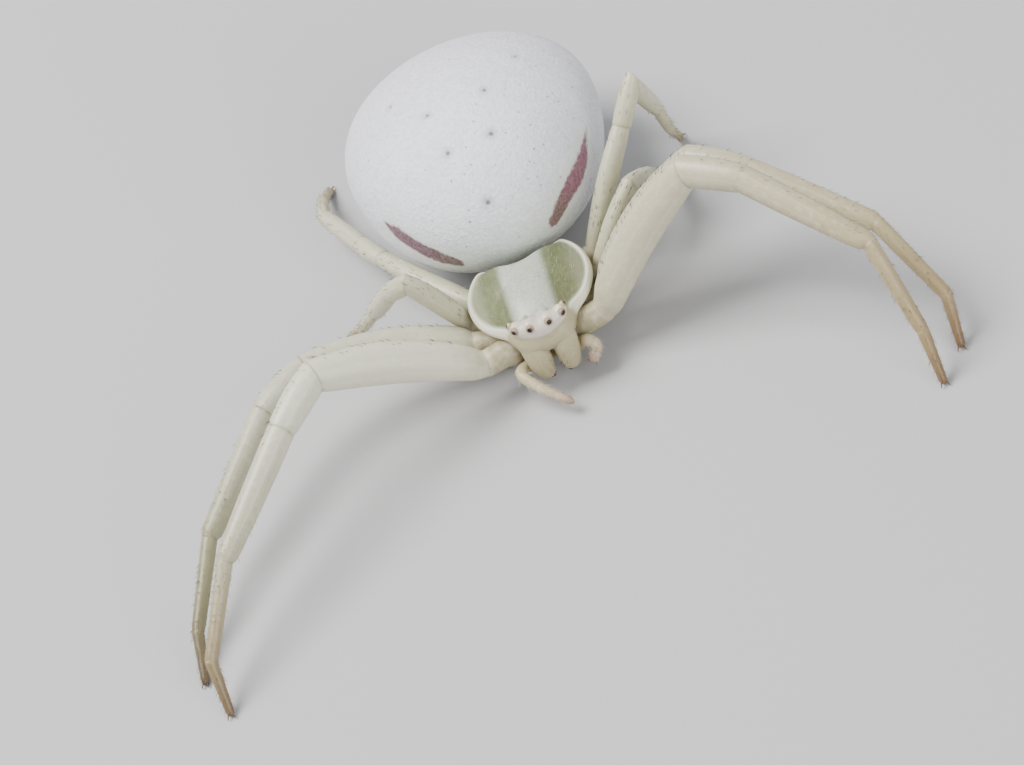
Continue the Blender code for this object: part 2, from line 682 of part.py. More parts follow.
def make_hip(side, number, material, first_plane):
    """The hip and the ring beyond it, from the breast plate to the thigh."""
    points = hip_points(side, number)
    bend = unit(unit(points[1] - points[0]) + unit(points[2] - points[1]))
    start_plane = np.array((float(SIDE_SIGNS[side]), 0.0, 0.0))
    up = np.array((0.0, 0.0, 1.0))
    bulge = HIP_BULGE[number]
    hip_profile = HIP_ROOT_PROFILE + tuple((at, bulge * size) for at, size in HIP_BULGE_PROFILE)
    neck_profile = tuple((at, bulge * size) for at, size in NECK_BULGE_PROFILE)
    neck_profile += ((NECK_END_SHARE, NECK_RADIUS[number]), (1.0, NECK_RADIUS[number]))
    hip = piece_rings(points[0], points[1], start_plane, bend, up, hip_profile)
    neck = piece_rings(points[1], points[2], bend, first_plane, up, neck_profile)
    rings = np.vstack([hip, neck])
    return add_object(f"hip_{side}_{number}", skin_rings(rings), material)


def make_leg(side, number, material):
    """One leg in its pieces: long legs in five past the hip, short ones in three."""
    joints = leg_joints(side, number)
    out, rise = leg_frame(side, number)
    side_way = np.cross(rise, out)
    ways = [unit(after - before) for before, after in zip(joints, joints[1:])]
    hip = hip_points(side, number)
    planes = [unit(unit(hip[2] - hip[1]) + ways[0])]
    planes += [unit(before + after) for before, after in zip(ways, ways[1:])]
    planes.append(ways[-1])
    radii = LEG_RADII[number]
    swells = LEG_SWELL if number < 3 else SHORT_LEG_SWELL
    arch = THIGH_ARCH if number < 3 else SHORT_THIGH_ARCH
    counts = LEG_RINGS if number < 3 else SHORT_LEG_RINGS
    make_hip(side, number, material, planes[0])

    def rings_of(k):
        if k == TARSUS:
            profile = foot_profile(radii[k], radii[k + 1], counts[k])
        elif k == FEMUR and number < 3:
            profile = thigh_profile(LEG_LENGTHS[number][k], radii[k], radii[k + 1], swells[k],
                                    counts[k])
        else:
            profile = thickness_profile(radii[k], radii[k + 1], swells[k], counts[k])
        return piece_rings(joints[k], joints[k + 1], planes[k], planes[k + 1], side_way,
                           profile, LEG_WIDTH_SHARE[k], arch if k == FEMUR else 0.0)

    for name, pieces in (LONG_LEG_NODES if number < 3 else SHORT_LEG_NODES).items():
        rings = np.vstack([rings_of(k) for k in pieces])
        bm = skin_rings(rings)
        if TARSUS in pieces:
            add_flat_foot(bm)
        add_object(f"{name}_{side}_{number}", bm, material)


def main():
    clear_scene()
    materials = {
        name: make_material(name, colour, EYE_ROUGHNESS if name == "eye" else SKIN_ROUGHNESS)
        for name, colour in COLOURS.items()
    }
    abdomen = make_abdomen(materials["abdomen"])
    carapace = make_carapace(materials["shield"])
    make_eyes(materials["eye"], carapace)
    make_spinnerets(materials["abdomen"], abdomen)
    make_pedicel(materials["leg"], abdomen, carapace)
    make_sternum(materials["leg"])
    make_mouthparts(materials["leg"])
    for side in SIDE_SIGNS:
        make_jaw(side, materials["jaw"])
        make_palp(side, materials["leg"])
        for number in LEG_LENGTHS:
            make_leg(side, number, materials["leg"])


main()
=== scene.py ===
"""A female flower crab spider: her skin, eyes and hairs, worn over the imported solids.

Lengths are in millimetres, in the frame of the solids: she faces -Y, her left is +X, up is
+Z and the ground is at zero. A mesh is turned into metres when it is made.
"""

import bpy
import numpy as np
from mathutils import Matrix


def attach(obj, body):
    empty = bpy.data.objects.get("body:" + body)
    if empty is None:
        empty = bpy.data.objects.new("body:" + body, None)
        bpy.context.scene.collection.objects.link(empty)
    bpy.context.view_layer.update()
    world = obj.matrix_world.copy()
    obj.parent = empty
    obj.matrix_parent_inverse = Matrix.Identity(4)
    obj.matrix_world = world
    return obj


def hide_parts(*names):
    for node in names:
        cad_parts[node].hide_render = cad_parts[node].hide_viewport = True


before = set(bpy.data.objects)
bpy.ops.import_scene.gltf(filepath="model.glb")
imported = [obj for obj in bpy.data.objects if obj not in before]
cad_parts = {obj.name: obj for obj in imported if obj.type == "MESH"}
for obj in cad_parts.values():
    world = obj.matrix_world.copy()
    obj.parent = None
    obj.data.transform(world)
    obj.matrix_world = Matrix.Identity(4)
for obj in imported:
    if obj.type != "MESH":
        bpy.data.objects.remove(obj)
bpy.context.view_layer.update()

MM = 0.001
SIDE_SIGNS = {"left": 1, "right": -1}
UP = np.array((0.0, 0.0, 1.0))


# Camera

VIEW_AZIMUTH, VIEW_HEIGHT, VIEW_ROLL = np.radians((7.5, 44.0, 28.0))
VIEW_TARGET = (-1.113, -6.637, 1.413)
VIEW_DISTANCE = 110.0
VIEW_LENS = 163.86


def make_camera():
    """The camera looks down on her from the front, leaning over so that she runs aslant."""
    azimuth, height, roll = VIEW_AZIMUTH, VIEW_HEIGHT, VIEW_ROLL
    level = np.array((np.cos(azimuth), np.sin(azimuth), 0.0))
    back = np.array((np.sin(azimuth) * np.cos(height), -np.cos(azimuth) * np.cos(height),
                     np.sin(height)))
    upright = np.cross(back, level)
    across = level * np.cos(roll) - upright * np.sin(roll)
    above = level * np.sin(roll) + upright * np.cos(roll)
    place = (np.array(VIEW_TARGET) + back * VIEW_DISTANCE) * MM
    lens = bpy.data.cameras.new("camera")
    lens.lens = VIEW_LENS
    lens.sensor_width = 36.0
    lens.sensor_fit = "HORIZONTAL"
    lens.clip_start = 0.005
    camera = bpy.data.objects.new("camera", lens)
    bpy.context.scene.collection.objects.link(camera)
    turn = Matrix([[across[k], above[k], back[k], place[k]] for k in range(3)] + [[0, 0, 0, 1]])
    camera.matrix_world = turn
    bpy.context.scene.camera = camera


# Shader maths

class Signal:
    """One socket of a material's nodes, on which maths is written as in Python."""

    def __init__(self, tree, socket=None):
        self.tree = tree
        self.socket = socket

    def node(self, kind, settings=None, inputs=None, output=0):
        """Any other node: its settings first, then its inputs, then the wanted output."""
        new = self.tree.nodes.new(kind)
        for key, value in (settings or {}).items():
            if key == "stops":
                ramp = new.color_ramp
                while len(ramp.elements) < len(value):
                    ramp.elements.new(1.0)
                for stop, (place, colour) in zip(ramp.elements, value):
                    stop.position = place
                    stop.color = (*colour, 1.0)
            else:
                setattr(new, key, value)
        for key, value in (inputs or {}).items():
            if isinstance(value, Signal):
                self.tree.links.new(value.socket, new.inputs[key])
            else:
                new.inputs[key].default_value = value
        return Signal(self.tree, new.outputs[output])

    def maths(self, operation, *values):
        return self.node("ShaderNodeMath", {"operation": operation}, dict(enumerate(values)))

    def __add__(self, other):
        return self.maths("ADD", self, other)

    def __sub__(self, other):
        return self.maths("SUBTRACT", self, other)

    def __rsub__(self, other):
        return self.maths("SUBTRACT", other, self)

    def __mul__(self, other):
        return self.maths("MULTIPLY", self, other)

    def __truediv__(self, other):
        return self.maths("DIVIDE", self, other)

    __radd__ = __add__
    __rmul__ = __mul__

    def absolute(self):
        return self.maths("ABSOLUTE", self)

    def step(self, low, high):
        """Rise smoothly from 0 at low to 1 at high, or fall if low is the larger."""
        if low > high:
            return 1.0 - self.step(high, low)
        return self.node("ShaderNodeMapRange", {"interpolation_type": "SMOOTHSTEP"},
                         {"Value": self, "From Min": low, "From Max": high})

    def mix(self, first, second):
        """The first colour where this is 0, and the second where it is 1."""
        inputs = {"Factor": self, 6: first, 7: second}
        for key in (6, 7):
            if not isinstance(inputs[key], Signal):
                inputs[key] = (*inputs[key], 1.0)
        return self.node("ShaderNodeMix", {"data_type": "RGBA"}, inputs, 2)

    def distance(self, point):
        return self.node("ShaderNodeVectorMath", {"operation": "DISTANCE"},
                         {0: self, 1: point}, "Value")

    def axes(self):
        """The three numbers of a vector."""
        inputs = {0: self}
        return [self.node("ShaderNodeSeparateXYZ", None, inputs, k) for k in range(3)]

    def stretched(self, across, along, height):
        return self.node("ShaderNodeVectorMath", {"operation": "MULTIPLY"},
                         {0: self, 1: (across, along, height)})

    def noise(self, size, detail=2.0, rough=0.5):
        """Soft noise between 0 and 1 whose blobs are about this size."""
        return self.node("ShaderNodeTexNoise", None,
                         {"Vector": self, "Scale": 1.0 / size, "Detail": detail,
                          "Roughness": rough})

    def cells(self, size, output="Distance"):
        """Distance to the nearest of scattered points, spaced about this size apart."""
        return self.node("ShaderNodeTexVoronoi", None,
                         {"Vector": self, "Scale": 1.0 / size}, output)

    def mark(self, name):
        """A number stored at the mesh's points."""
        return self.node("ShaderNodeAttribute", {"attribute_name": name}, None, "Fac")

    def relief(self, height, strength=1.0):
        """A normal that follows a height given in millimetres."""
        return self.node("ShaderNodeBump", None,
                         {"Strength": strength, "Distance": MM, "Height": height})


def new_material(name, **fixed):
    """A material with fixed values on its shader, and its place in millimetres."""
    material = bpy.data.materials.new(name)
    material.use_nodes = True
    tree = material.node_tree
    shader = tree.nodes["Principled BSDF"]
    for key, value in fixed.items():
        shader.inputs[key.replace("_", " ")].default_value = value
    start = Signal(tree)
    place = start.node("ShaderNodeTexCoord", None, None, "Object")
    place = start.node("ShaderNodeVectorMath", {"operation": "SCALE"},
                       {0: place, "Scale": 1.0 / MM})
    return material, place


def finish_material(material, **signals):
    """Lead the given signals into the shader's sockets of the same names."""
    tree = material.node_tree
    shader = tree.nodes["Principled BSDF"]
    for key, signal in signals.items():
        tree.links.new(signal.socket, shader.inputs[key.replace("_", " ")])
    return material


# Meshes

def put_mesh(name, points, triangles, quads, material, unwrap=None, marks=None, layer="skin"):
    """A mesh object at the origin, turned to face outwards, with its unwrap and marks."""
    points = np.asarray(points, float)
    fan = np.concatenate([triangles, quads[:, :3], quads[:, [0, 2, 3]]])
    corners = points[fan]
    if np.sum(corners[:, 0] * np.cross(corners[:, 1], corners[:, 2])) < 0:
        triangles, quads = triangles[:, ::-1], quads[:, ::-1]
        if unwrap is not None:
            unwrap = [part[:, ::-1] for part in unwrap]
    mesh = bpy.data.meshes.new(name)
    mesh.from_pydata((points * MM).tolist(), [], triangles.tolist() + quads.tolist())
    if unwrap is not None:
        flat = np.concatenate([part.reshape(-1, 2) for part in unwrap])
        mesh.uv_layers.new(name=layer).data.foreach_set("uv", flat.ravel())
    for key, values in (marks or {}).items():
        mark = mesh.attributes.new(key, "FLOAT", "POINT")
        mark.data.foreach_set("value", np.asarray(values, np.float32))
    mesh.shade_smooth()
    mesh.materials.append(material)
    piece = bpy.data.objects.new(name, mesh)
    bpy.context.scene.collection.objects.link(piece)
    return piece


def ring_skin(name, rings, material, along=None, marks=None):
    """A closed skin over rings of points, an array (ring, side, 3), with a pole at each
    end. Its unwrap has the turn around the rings across, and the way along them up."""
    count, sides = rings.shape[:2]
    along = np.linspace(0.0, 1.0, count) if along is None else np.asarray(along)
    points = np.vstack([rings.reshape(-1, 3), rings[0].mean(0), rings[-1].mean(0)])
    row, column = np.meshgrid(np.arange(count - 1), np.arange(sides), indexing="ij")
    row, column = row.ravel(), column.ravel()
    after = (column + 1) % sides
    quads = np.stack([row * sides + column, row * sides + after,
                      (row + 1) * sides + after, (row + 1) * sides + column], 1)
    quad_flat = np.stack([
        np.stack([column, column + 1, column + 1, column], 1) / sides,
        np.stack([along[row], along[row], along[row + 1], along[row + 1]], 1),
    ], 2)
    k = np.arange(sides)
    last = (count - 1) * sides
    triangles = np.concatenate([
        np.stack([np.full(sides, count * sides), (k + 1) % sides, k], 1),
        np.stack([np.full(sides, count * sides + 1), last + k, last + (k + 1) % sides], 1),
    ])
    triangle_flat = np.concatenate([
        np.stack([np.stack([k + 0.5, k + 1, k], 1) / sides, np.full((sides, 3), along[0])], 2),
        np.stack([np.stack([k + 0.5, k, k + 1], 1) / sides, np.full((sides, 3), along[-1])], 2),
    ])
    full_marks = {}
    for key, values in (marks or {}).items():
        full_marks[key] = np.concatenate([values.ravel(), [values[0].mean(), values[-1].mean()]])
    return put_mesh(name, points, triangles, quads, material, (triangle_flat, quad_flat), full_marks)


def unit(vectors):
    return vectors / np.linalg.norm(vectors, axis=-1, keepdims=True)


def smooth_step(value):
    value = np.clip(value, 0.0, 1.0)
    return value * value * (3.0 - 2.0 * value)


def smooth_path(points, count):
    """Points spaced evenly in parameter on a Catmull-Rom curve through the given ones."""
    knots = np.array(points, float)
    knots = np.vstack([2 * knots[0] - knots[1], knots, 2 * knots[-1] - knots[-2]])
    place = np.linspace(0.0, len(points) - 1, count)
    k = np.minimum(place.astype(int), len(points) - 2)
    t = (place - k)[:, None]
    a, b, c, d = knots[k], knots[k + 1], knots[k + 2], knots[k + 3]
    return 0.5 * (2 * b + (c - a) * t + (2 * a - 5 * b + 4 * c - d) * t ** 2
                  + (3 * b - a - 3 * c + d) * t ** 3)


def tube_rings(path, wide_radii, deep_radii, across, sides):
    """Oval rings square to a path: centre + wide cos(turn) + deep sin(turn)."""
    ahead = unit(np.gradient(path, axis=0))
    deep = unit(np.cross(ahead, np.array(across, float)))
    wide = np.cross(deep, ahead)
    turns = np.linspace(0.0, 2.0 * np.pi, sides, endpoint=False)
    return (path[:, None]
            + np.asarray(wide_radii)[:, None, None] * wide[:, None] * np.cos(turns)[:, None]
            + np.asarray(deep_radii)[:, None, None] * deep[:, None] * np.sin(turns)[:, None])


def hair_mesh(name, roots, ways, bends, lengths, radii, flats, material):
    """Hairs as thin cones of three sides: at t along a hair its middle is
    root + way * length * t + bend * length * t squared, and it thins as 1 - t."""
    count = len(roots)
    steps = np.array((0.0, 0.4, 0.75))
    tips = np.array((1.0,))
    long = np.asarray(lengths)[:, None, None]

    def middle(t):
        return (roots[:, None] + ways[:, None] * long * t[:, None]
                + bends[:, None] * long * (t ** 2)[:, None])

    side = unit(np.cross(ways, ways[:, [1, 2, 0]] + 0.3))
    other = np.cross(ways, side)
    turns = np.radians((0.0, 120.0, 240.0))
    spread = side[:, None] * np.cos(turns)[:, None] + other[:, None] * np.sin(turns)[:, None]
    thick = np.asarray(radii)[:, None] * (1.0 - 0.8 * steps)
    rings = middle(steps)[:, :, None] + spread[:, None] * thick[:, :, None, None]
    points = np.concatenate([rings.reshape(count, 9, 3), middle(tips)], axis=1).reshape(-1, 3)
    triangles = np.array(((0, 2, 1), (6, 7, 9), (7, 8, 9), (8, 6, 9)))
    quads = np.array([(level + k, level + (k + 1) % 3, level + 3 + (k + 1) % 3, level + 3 + k)
                      for level in (0, 3) for k in range(3)])
    corner = np.arange(10)
    patch = 0.003 * np.stack([corner % 3 / 3, corner / 10], 1)
    first = np.arange(count)[:, None, None] * 10
    unwrap = [(flats[:, None, None] + patch[part]).reshape(-1, part.shape[1], 2)
              for part in (triangles, quads)]
    return put_mesh(name, points, (first + triangles).reshape(-1, 3), (first + quads).reshape(-1, 4),
                    material, unwrap, layer="OFBake")


def put_on(piece, slot, *nodes):
    """Let a piece ride with the body and stand for its nodes. The slot is not used."""
    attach(piece, "root")
    if nodes:
        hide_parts(*nodes)
    return piece


# Abdomen

ABDOMEN_LENGTH = 6.83
ABDOMEN_WIDTH = 6.43
ABDOMEN_MIDDLE = (0.0, 0.354, 2.2)
ABDOMEN_TOP = 2.465
ABDOMEN_BOTTOM = 2.255
ABDOMEN_TAPER = 0.186
ABDOMEN_SHOULDER = -0.048
ABDOMEN_TUCK = 0.21
ABDOMEN_LOW_BREADTH = 0.26
ABDOMEN_TURN = 1.94
WAIST_PLACE = (0.0, -3.0)
ABDOMEN_RINGS = 170
ABDOMEN_SIDES = 220
# Pits where the muscles join the skin, in degrees: way along from the front, turn from the
# top, then the size and the darkness
PITS = (
    (28.5, -4.3, 0.062, 0.90), (58.7, -11.8, 0.058, 0.85), (59.0, 14.5, 0.060, 0.90),
    (80.5, -11.9, 0.050, 0.80), (81.1, 16.4, 0.052, 0.80), (98.5, -25.9, 0.048, 0.60),
    (98.7, 34.5, 0.048, 0.60), (122.0, -22.0, 0.036, 0.50), (122.0, 26.0, 0.036, 0.50),
)
# Small dots, in the same way
DOTS = (
    (26.2, -34.1, 0.036, 0.75), (40.3, 67.7, 0.034, 0.80), (75.8, 25.0, 0.028, 0.60),
    (58.8, -28.1, 0.026, 0.55), (33.4, 51.2, 0.028, 0.60), (68.5, 65.4, 0.026, 0.55),
    (92.0, 43.0, 0.028, 0.55), (61.6, 6.1, 0.024, 0.55), (84.8, -19.7, 0.024, 0.50),
    (57.8, -3.2, 0.022, 0.45), (55.5, 29.5, 0.024, 0.50), (88.0, -39.0, 0.024, 0.45),
    (66.9, 31.0, 0.030, 0.65), (80.8, 33.5, 0.024, 0.55), (52.0, 46.4, 0.030, 0.70),
    (43.1, 41.1, 0.026, 0.60), (44.4, 12.1, 0.024, 0.55), (35.5, 37.3, 0.028, 0.60),
    (36.8, 45.5, 0.024, 0.55), (46.0, 20.3, 0.024, 0.55), (50.7, 18.4, 0.022, 0.50),
    (46.0, -9.6, 0.028, 0.60), (52.7, -11.2, 0.022, 0.50), (46.4, -19.7, 0.024, 0.50),
    (36.8, -14.9, 0.024, 0.50), (77.1, 50.5, 0.024, 0.50), (70.5, 59.6, 0.026, 0.55),
    (84.8, -29.1, 0.024, 0.45), (42.1, 36.0, 0.022, 0.50),
)
PIT_DEPTH = 0.035
# The mauve stripes, in degrees of way and turn from the back end to the front
STRIPES = {
    "right": ((69.0, -76.5), (62.5, -79.5), (54.3, -83.0), (46.4, -88.2), (38.3, -94.4),
              (31.0, -103.3)),
    "left": ((70.5, 76.4), (60.4, 79.2), (50.7, 83.0), (43.5, 83.8), (37.5, 84.1), (31.3, 87.5),
             (24.0, 98.0)),
}


def abdomen_point(way, turn):
    """A point of the abdomen: a ball along Y, its width growing backwards, its top and
    bottom of different heights, its lower front drawn back and broadened, and all of it
    turned a little about the waist. The way runs from the front, the turn from the top."""
    back = -np.cos(way)
    width = 1.0 + ABDOMEN_TAPER * back - ABDOMEN_SHOULDER * back * back
    rise = np.sin(way) * np.cos(turn)
    height = np.where(rise > 0, ABDOMEN_TOP, ABDOMEN_BOTTOM)
    low_front = np.clip(-back, 0, 1) * np.clip(-rise, 0, 1)
    across = np.sin(way) * np.sin(turn) * width * (1.0 + ABDOMEN_LOW_BREADTH * low_front)
    x = ABDOMEN_MIDDLE[0] + across * ABDOMEN_WIDTH / 2 - WAIST_PLACE[0]
    y = (ABDOMEN_MIDDLE[1] + back * ABDOMEN_LENGTH / 2 + ABDOMEN_TUCK * low_front
         - WAIST_PLACE[1])
    cosine, sine = np.cos(np.radians(ABDOMEN_TURN)), np.sin(np.radians(ABDOMEN_TURN))
    return np.stack([
        WAIST_PLACE[0] + cosine * x - sine * y,
        WAIST_PLACE[1] + sine * x + cosine * y,
        ABDOMEN_MIDDLE[2] + rise * height,
    ], axis=-1)


def spot_places(spots):
    """The pits or dots as (place, size, darkness)."""
    return [(abdomen_point(np.radians(way), np.radians(turn)), size, dark)
            for way, turn, size, dark in spots]


def path_offset(points, path):
    """For each point, how far it is from a path, and how far along the nearest place is."""
    steps = smooth_path(path, 80)
    gap = np.linalg.norm(points[..., None, :] - steps, axis=-1)
    return gap.min(-1), gap.argmin(-1) / (len(steps) - 1)


def abdomen_material():
    """White, granular skin with a lilac cast, greener in front, with fine grey dots, the
    pits and a mauve stripe low on each side that turns brown towards the front."""
    material, place = new_material(
        "abdomen skin", Roughness=0.46, Subsurface_Weight=0.25, Subsurface_Scale=0.00025,
        Subsurface_Radius=(1.0, 0.9, 0.8))
    x, y, z = place.axes()
    cloud = place.noise(1.3, 3.0).step(0.3, 0.7)
    colour = cloud.mix((0.745, 0.770, 0.835), (0.815, 0.830, 0.885))
    lilac = y.step(-0.6, 2.6)
    colour = (lilac * 0.7).mix(colour, (0.75, 0.73, 0.82))
    green = y.step(-1.6, -3.1) * (0.4 + 0.6 * z.step(3.4, 1.6))
    colour = (green * 0.85).mix(colour, (0.67, 0.74, 0.69))
    # Darker, greener grey low on the sides, below the middle: painted shade under the abdomen's bulge.
    low_side_shade = z.step(2.0, 0.8)
    colour = (low_side_shade * 0.6).mix(colour, (0.62, 0.65, 0.59))
    grain = place.noise(0.085, 3.0, 0.65)
    colour = (grain.step(0.45, 0.72) * 0.75).mix(colour, (0.93, 0.94, 0.97))
    mottle = place.noise(0.17, 3.0, 0.6).step(0.52, 0.36)
    colour = (mottle * 0.24).mix(colour, (0.60, 0.61, 0.69))
    freckles = place.noise(0.13, 3.0, 0.6).step(0.56, 0.70) * place.noise(1.1).step(0.35, 0.6)
    colour = (freckles * 0.44).mix(colour, (0.50, 0.51, 0.60))
    sparse = place.cells(0.30, "Color").axes()[0].step(0.45, 0.5)
    dots = place.cells(0.30).step(0.13, 0.06) * sparse * place.noise(0.9).step(0.33, 0.52)
    colour = (dots * 0.85).mix(colour, (0.30, 0.29, 0.37))
    spots = None
    for spot, size, dark in spot_places(PITS) + spot_places(DOTS):
        gap = place.distance(tuple(spot)) / (size * 1.3)
        one = gap.step(1.15, 0.30) * dark
        if size > 0.04:
            one = one + gap.step(3.4, 0.6) * (0.36 * dark)
        spots = one if spots is None else spots.maths("MAXIMUM", spots, one)
    colour = spots.mix(colour, (0.17, 0.18, 0.23))
    off, along = place.mark("stripe_off"), place.mark("stripe_along")
    halo = off.step(0.60, 0.25) * along.step(0.0, 0.15)
    colour = (halo * 0.6).mix(colour, (0.74, 0.79, 0.74))
    ragged = off + 0.21 * (place.noise(0.11, 3.0, 0.7) - 0.5) + 0.10 * (place.noise(0.35) - 0.5)
    half = 0.02 + 0.225 * along.step(0.0, 0.35) * (1.0 - 0.25 * along.step(0.75, 1.0))
    stripe = (half - ragged).step(-0.050, 0.055) * along.step(0.0, 0.12)
    stripe = stripe * (0.86 + 0.12 * place.noise(0.07, 2.0, 0.6).step(0.36, 0.62))
    tint = along.step(0.55, 0.95).mix((0.22, 0.060, 0.115), (0.145, 0.068, 0.060))
    tint = (x.step(0.5, -0.5) * 0.45).mix(tint, (0.04, 0.022, 0.024))
    tint = (place.noise(0.20, 2.0).step(0.4, 0.75) * 0.35).mix(tint, (0.33, 0.15, 0.20))
    colour = stripe.mix(colour, tint)
    height = grain * 0.050 + place.noise(0.5, 2.0) * 0.02
    return finish_material(material, Base_Color=colour, Normal=place.relief(height, 0.9),
                           Roughness=0.38 + 0.16 * grain)


def make_abdomen():
    """The abdomen's skin: its ball of the solids with small pits pressed into it, folds low
    on its sides, and a flat where it rests."""
    way = np.linspace(0.0, np.pi, ABDOMEN_RINGS + 2)[1:-1][:, None]
    turn = np.linspace(0.0, 2.0 * np.pi, ABDOMEN_SIDES, endpoint=False)[None, :]
    way, turn = np.broadcast_arrays(way, turn)
    points = abdomen_point(way, turn)
    outward = unit(points - np.array(ABDOMEN_MIDDLE))
    dent = np.zeros(points.shape[:2])
    for spot, size, dark in spot_places(PITS):
        gap = np.linalg.norm(points - spot, axis=-1)
        dent += PIT_DEPTH * np.exp(-(gap / (size * 1.6)) ** 2)
    low = smooth_step((1.5 - points[..., 2]) / 1.0) * np.sin(way) ** 2
    folds = 0.012 * low * np.sin(turn * 46.0 + 2.0 * np.sin(way * 5.0))
    wave = 0.006 * np.sin(way * 23.0 + 1.3 * np.sin(turn * 3.0)) * np.sin(turn * 17.0)
    wave *= np.sin(way) ** 3
    points = points - outward * (dent + folds + wave + 0.004)[..., None]
    points[..., 2] = np.maximum(points[..., 2], 0.0)
    offsets, places = [], []
    for stripe in STRIPES.values():
        knots = np.radians(stripe)
        off, along = path_offset(points, abdomen_point(knots[:, 0], knots[:, 1]))
        offsets.append(off)
        places.append(along)
    nearer = offsets[1] < offsets[0]
    marks = {"stripe_off": np.where(nearer, offsets[1], offsets[0]),
             "stripe_along": np.where(nearer, places[1], places[0])}
    skin = ring_skin("abdomen_skin", points, abdomen_material(), marks=marks)
    put_on(skin, "abdomen", "abdomen")
    return points, np.linspace(0.0, 7.0, len(points))


# Front body

CARAPACE_MIDDLE = (0.0, -4.04)
CARAPACE_RADIUS = 1.58
BACK_REACH = 0.84
BACK_HOLLOW = 0.22
BACK_BLEND = 0.12
FACE_JUT = 0.42
FACE_JUT_ANGLE = 28.0
FACE_JUT_POWER = 4
CARAPACE_FLOOR = 1.32
CARAPACE_EDGE = 1.50
CARAPACE_RIM = 1.60
CARAPACE_TOP = 2.33
FACE_EDGE_DROP = 0.16
FACE_RIM_DROP = 0.20
RIM_LIP = 0.07
# Angles off the front up to which the rim is low and the dome steep, and where both end
FACE_RIM_ANGLES = (18.0, 34.0)
FACE_DOME_ANGLES = (4.0, 60.0)
EYES = {
    "front_middle": (0.237, -5.90, 2.085, 0.085),
    "front_outer": (0.605, -5.75, 2.06, 0.085),
    "rear_outer": (0.685, -5.59, 2.15, 0.075),
    "rear_middle": (0.255, -5.55, 2.165, 0.060),
}
BROW_HALF_WIDTH = 0.62
BROW_FRONT = -5.76
BROW_BACK_SWEEP = 0.12
BROW_HEIGHT = 1.90
BROW_RISE = 0.13
BROW_NARROWING = 0.88
BROW_RADIUS = 0.225
KNOB_SHIFT = (-0.057, 0.045, -0.066)
KNOB_RADIUS = 0.145
HUMP_PLACE = (0.225, -5.72, 2.00)
HUMP_RADIUS = 0.20
JAW_PATH = ((0.36, -5.60, 1.74), (0.365, -5.79, 1.42), (0.345, -6.00, 0.92), (0.27, -6.06, 0.56))
JAW_TIP = JAW_PATH[-1]
JAW_HALF_WIDTH = 0.34
JAW_TIP_HALF_WIDTH = 0.16
JAW_DEPTH_SHARE = 0.76
SHIELD_SIDES = 288


def face_share(turns, angles):
    """How much each turn belongs to the face: 1 up to the first angle off the front, and 0
    from the second."""
    off_front = np.abs((turns + np.pi) % (2 * np.pi) - np.pi)
    whole, none = np.radians(angles)
    return 1.0 - smooth_step((off_front - whole) / (none - whole))


def shield_point(turns, share):
    """A point of the shield at a turn from the front and a share of its outline: a dome
    with a steep face, a gutter and a raised rim round the sides, and a hollowed back."""
    off_front = np.abs((turns + np.pi) % (2 * np.pi) - np.pi)
    radius = CARAPACE_RADIUS + FACE_JUT * np.exp(
        -((off_front / np.radians(FACE_JUT_ANGLE)) ** FACE_JUT_POWER))
    across = np.sin(turns) * radius
    back = -np.cos(turns) * radius
    limit = BACK_REACH + BACK_HOLLOW * across ** 2
    back = (back + limit - np.sqrt((back - limit) ** 2 + BACK_BLEND ** 2)) / 2
    face = face_share(turns, FACE_RIM_ANGLES)
    steep = face_share(turns, FACE_DOME_ANGLES)
    rim = CARAPACE_RIM - FACE_RIM_DROP * face
    dome = (1.0 - share ** (2.0 + 2.0 * steep)) ** (1.15 - 0.65 * steep)
    lip = RIM_LIP * (1.0 - face) * np.exp(-(((share - 0.96) / 0.035) ** 2))
    height = rim + (CARAPACE_TOP - rim) * dome + lip
    return np.stack([CARAPACE_MIDDLE[0] + across * share, CARAPACE_MIDDLE[1] + back * share,
                     height], axis=-1)


def blended(first, second, width):
    """The smaller of two distances, rounded where they are alike."""
    h = np.clip(0.5 + 0.5 * (second - first) / width, 0.0, 1.0)
    return second * (1 - h) + first * h - width * h * (1.0 - h)


def brow_distance(points):
    """How far points stand off the brow across the face and the knobs of the outer eyes."""
    places = np.linspace(-1.0, 1.0, 41)
    path = np.stack([places * BROW_HALF_WIDTH, BROW_FRONT + BROW_BACK_SWEEP * places ** 2,
                     BROW_HEIGHT + BROW_RISE * places ** 2], axis=1)
    radii = BROW_RADIUS * np.sqrt(1.0 - (places * BROW_NARROWING) ** 2)
    gap = np.full(points.shape[:-1], 9.0)
    for centre, radius in zip(path, radii):
        gap = np.minimum(gap, np.linalg.norm(points - centre, axis=-1) - radius)
    low, high = np.array(EYES["front_outer"][:3]), np.array(EYES["rear_outer"][:3])
    for sign in (1, -1):
        middle = ((low + high) / 2 + KNOB_SHIFT) * (sign, 1, 1)
        gap = blended(gap, np.linalg.norm(points - middle, axis=-1) - KNOB_RADIUS, 0.05)
        hump = np.array(HUMP_PLACE) * (sign, 1, 1)
        gap = blended(gap, np.linalg.norm(points - hump, axis=-1) - HUMP_RADIUS, 0.06)
    return gap


def jaw_distance(points):
    """How far points stand off the roots of the two jaws, oval across."""
    gap = np.full(points.shape[:-1], 9.0)
    for centre in smooth_path(JAW_PATH, 40)[:22]:
        for sign in (1, -1):
            offset = (points - centre * (sign, 1, 1)) * (JAW_DEPTH_SHARE, 1.0, 1.0)
            gap = np.minimum(gap, np.linalg.norm(offset, axis=-1)
                             - JAW_HALF_WIDTH * JAW_DEPTH_SHARE)
    return gap


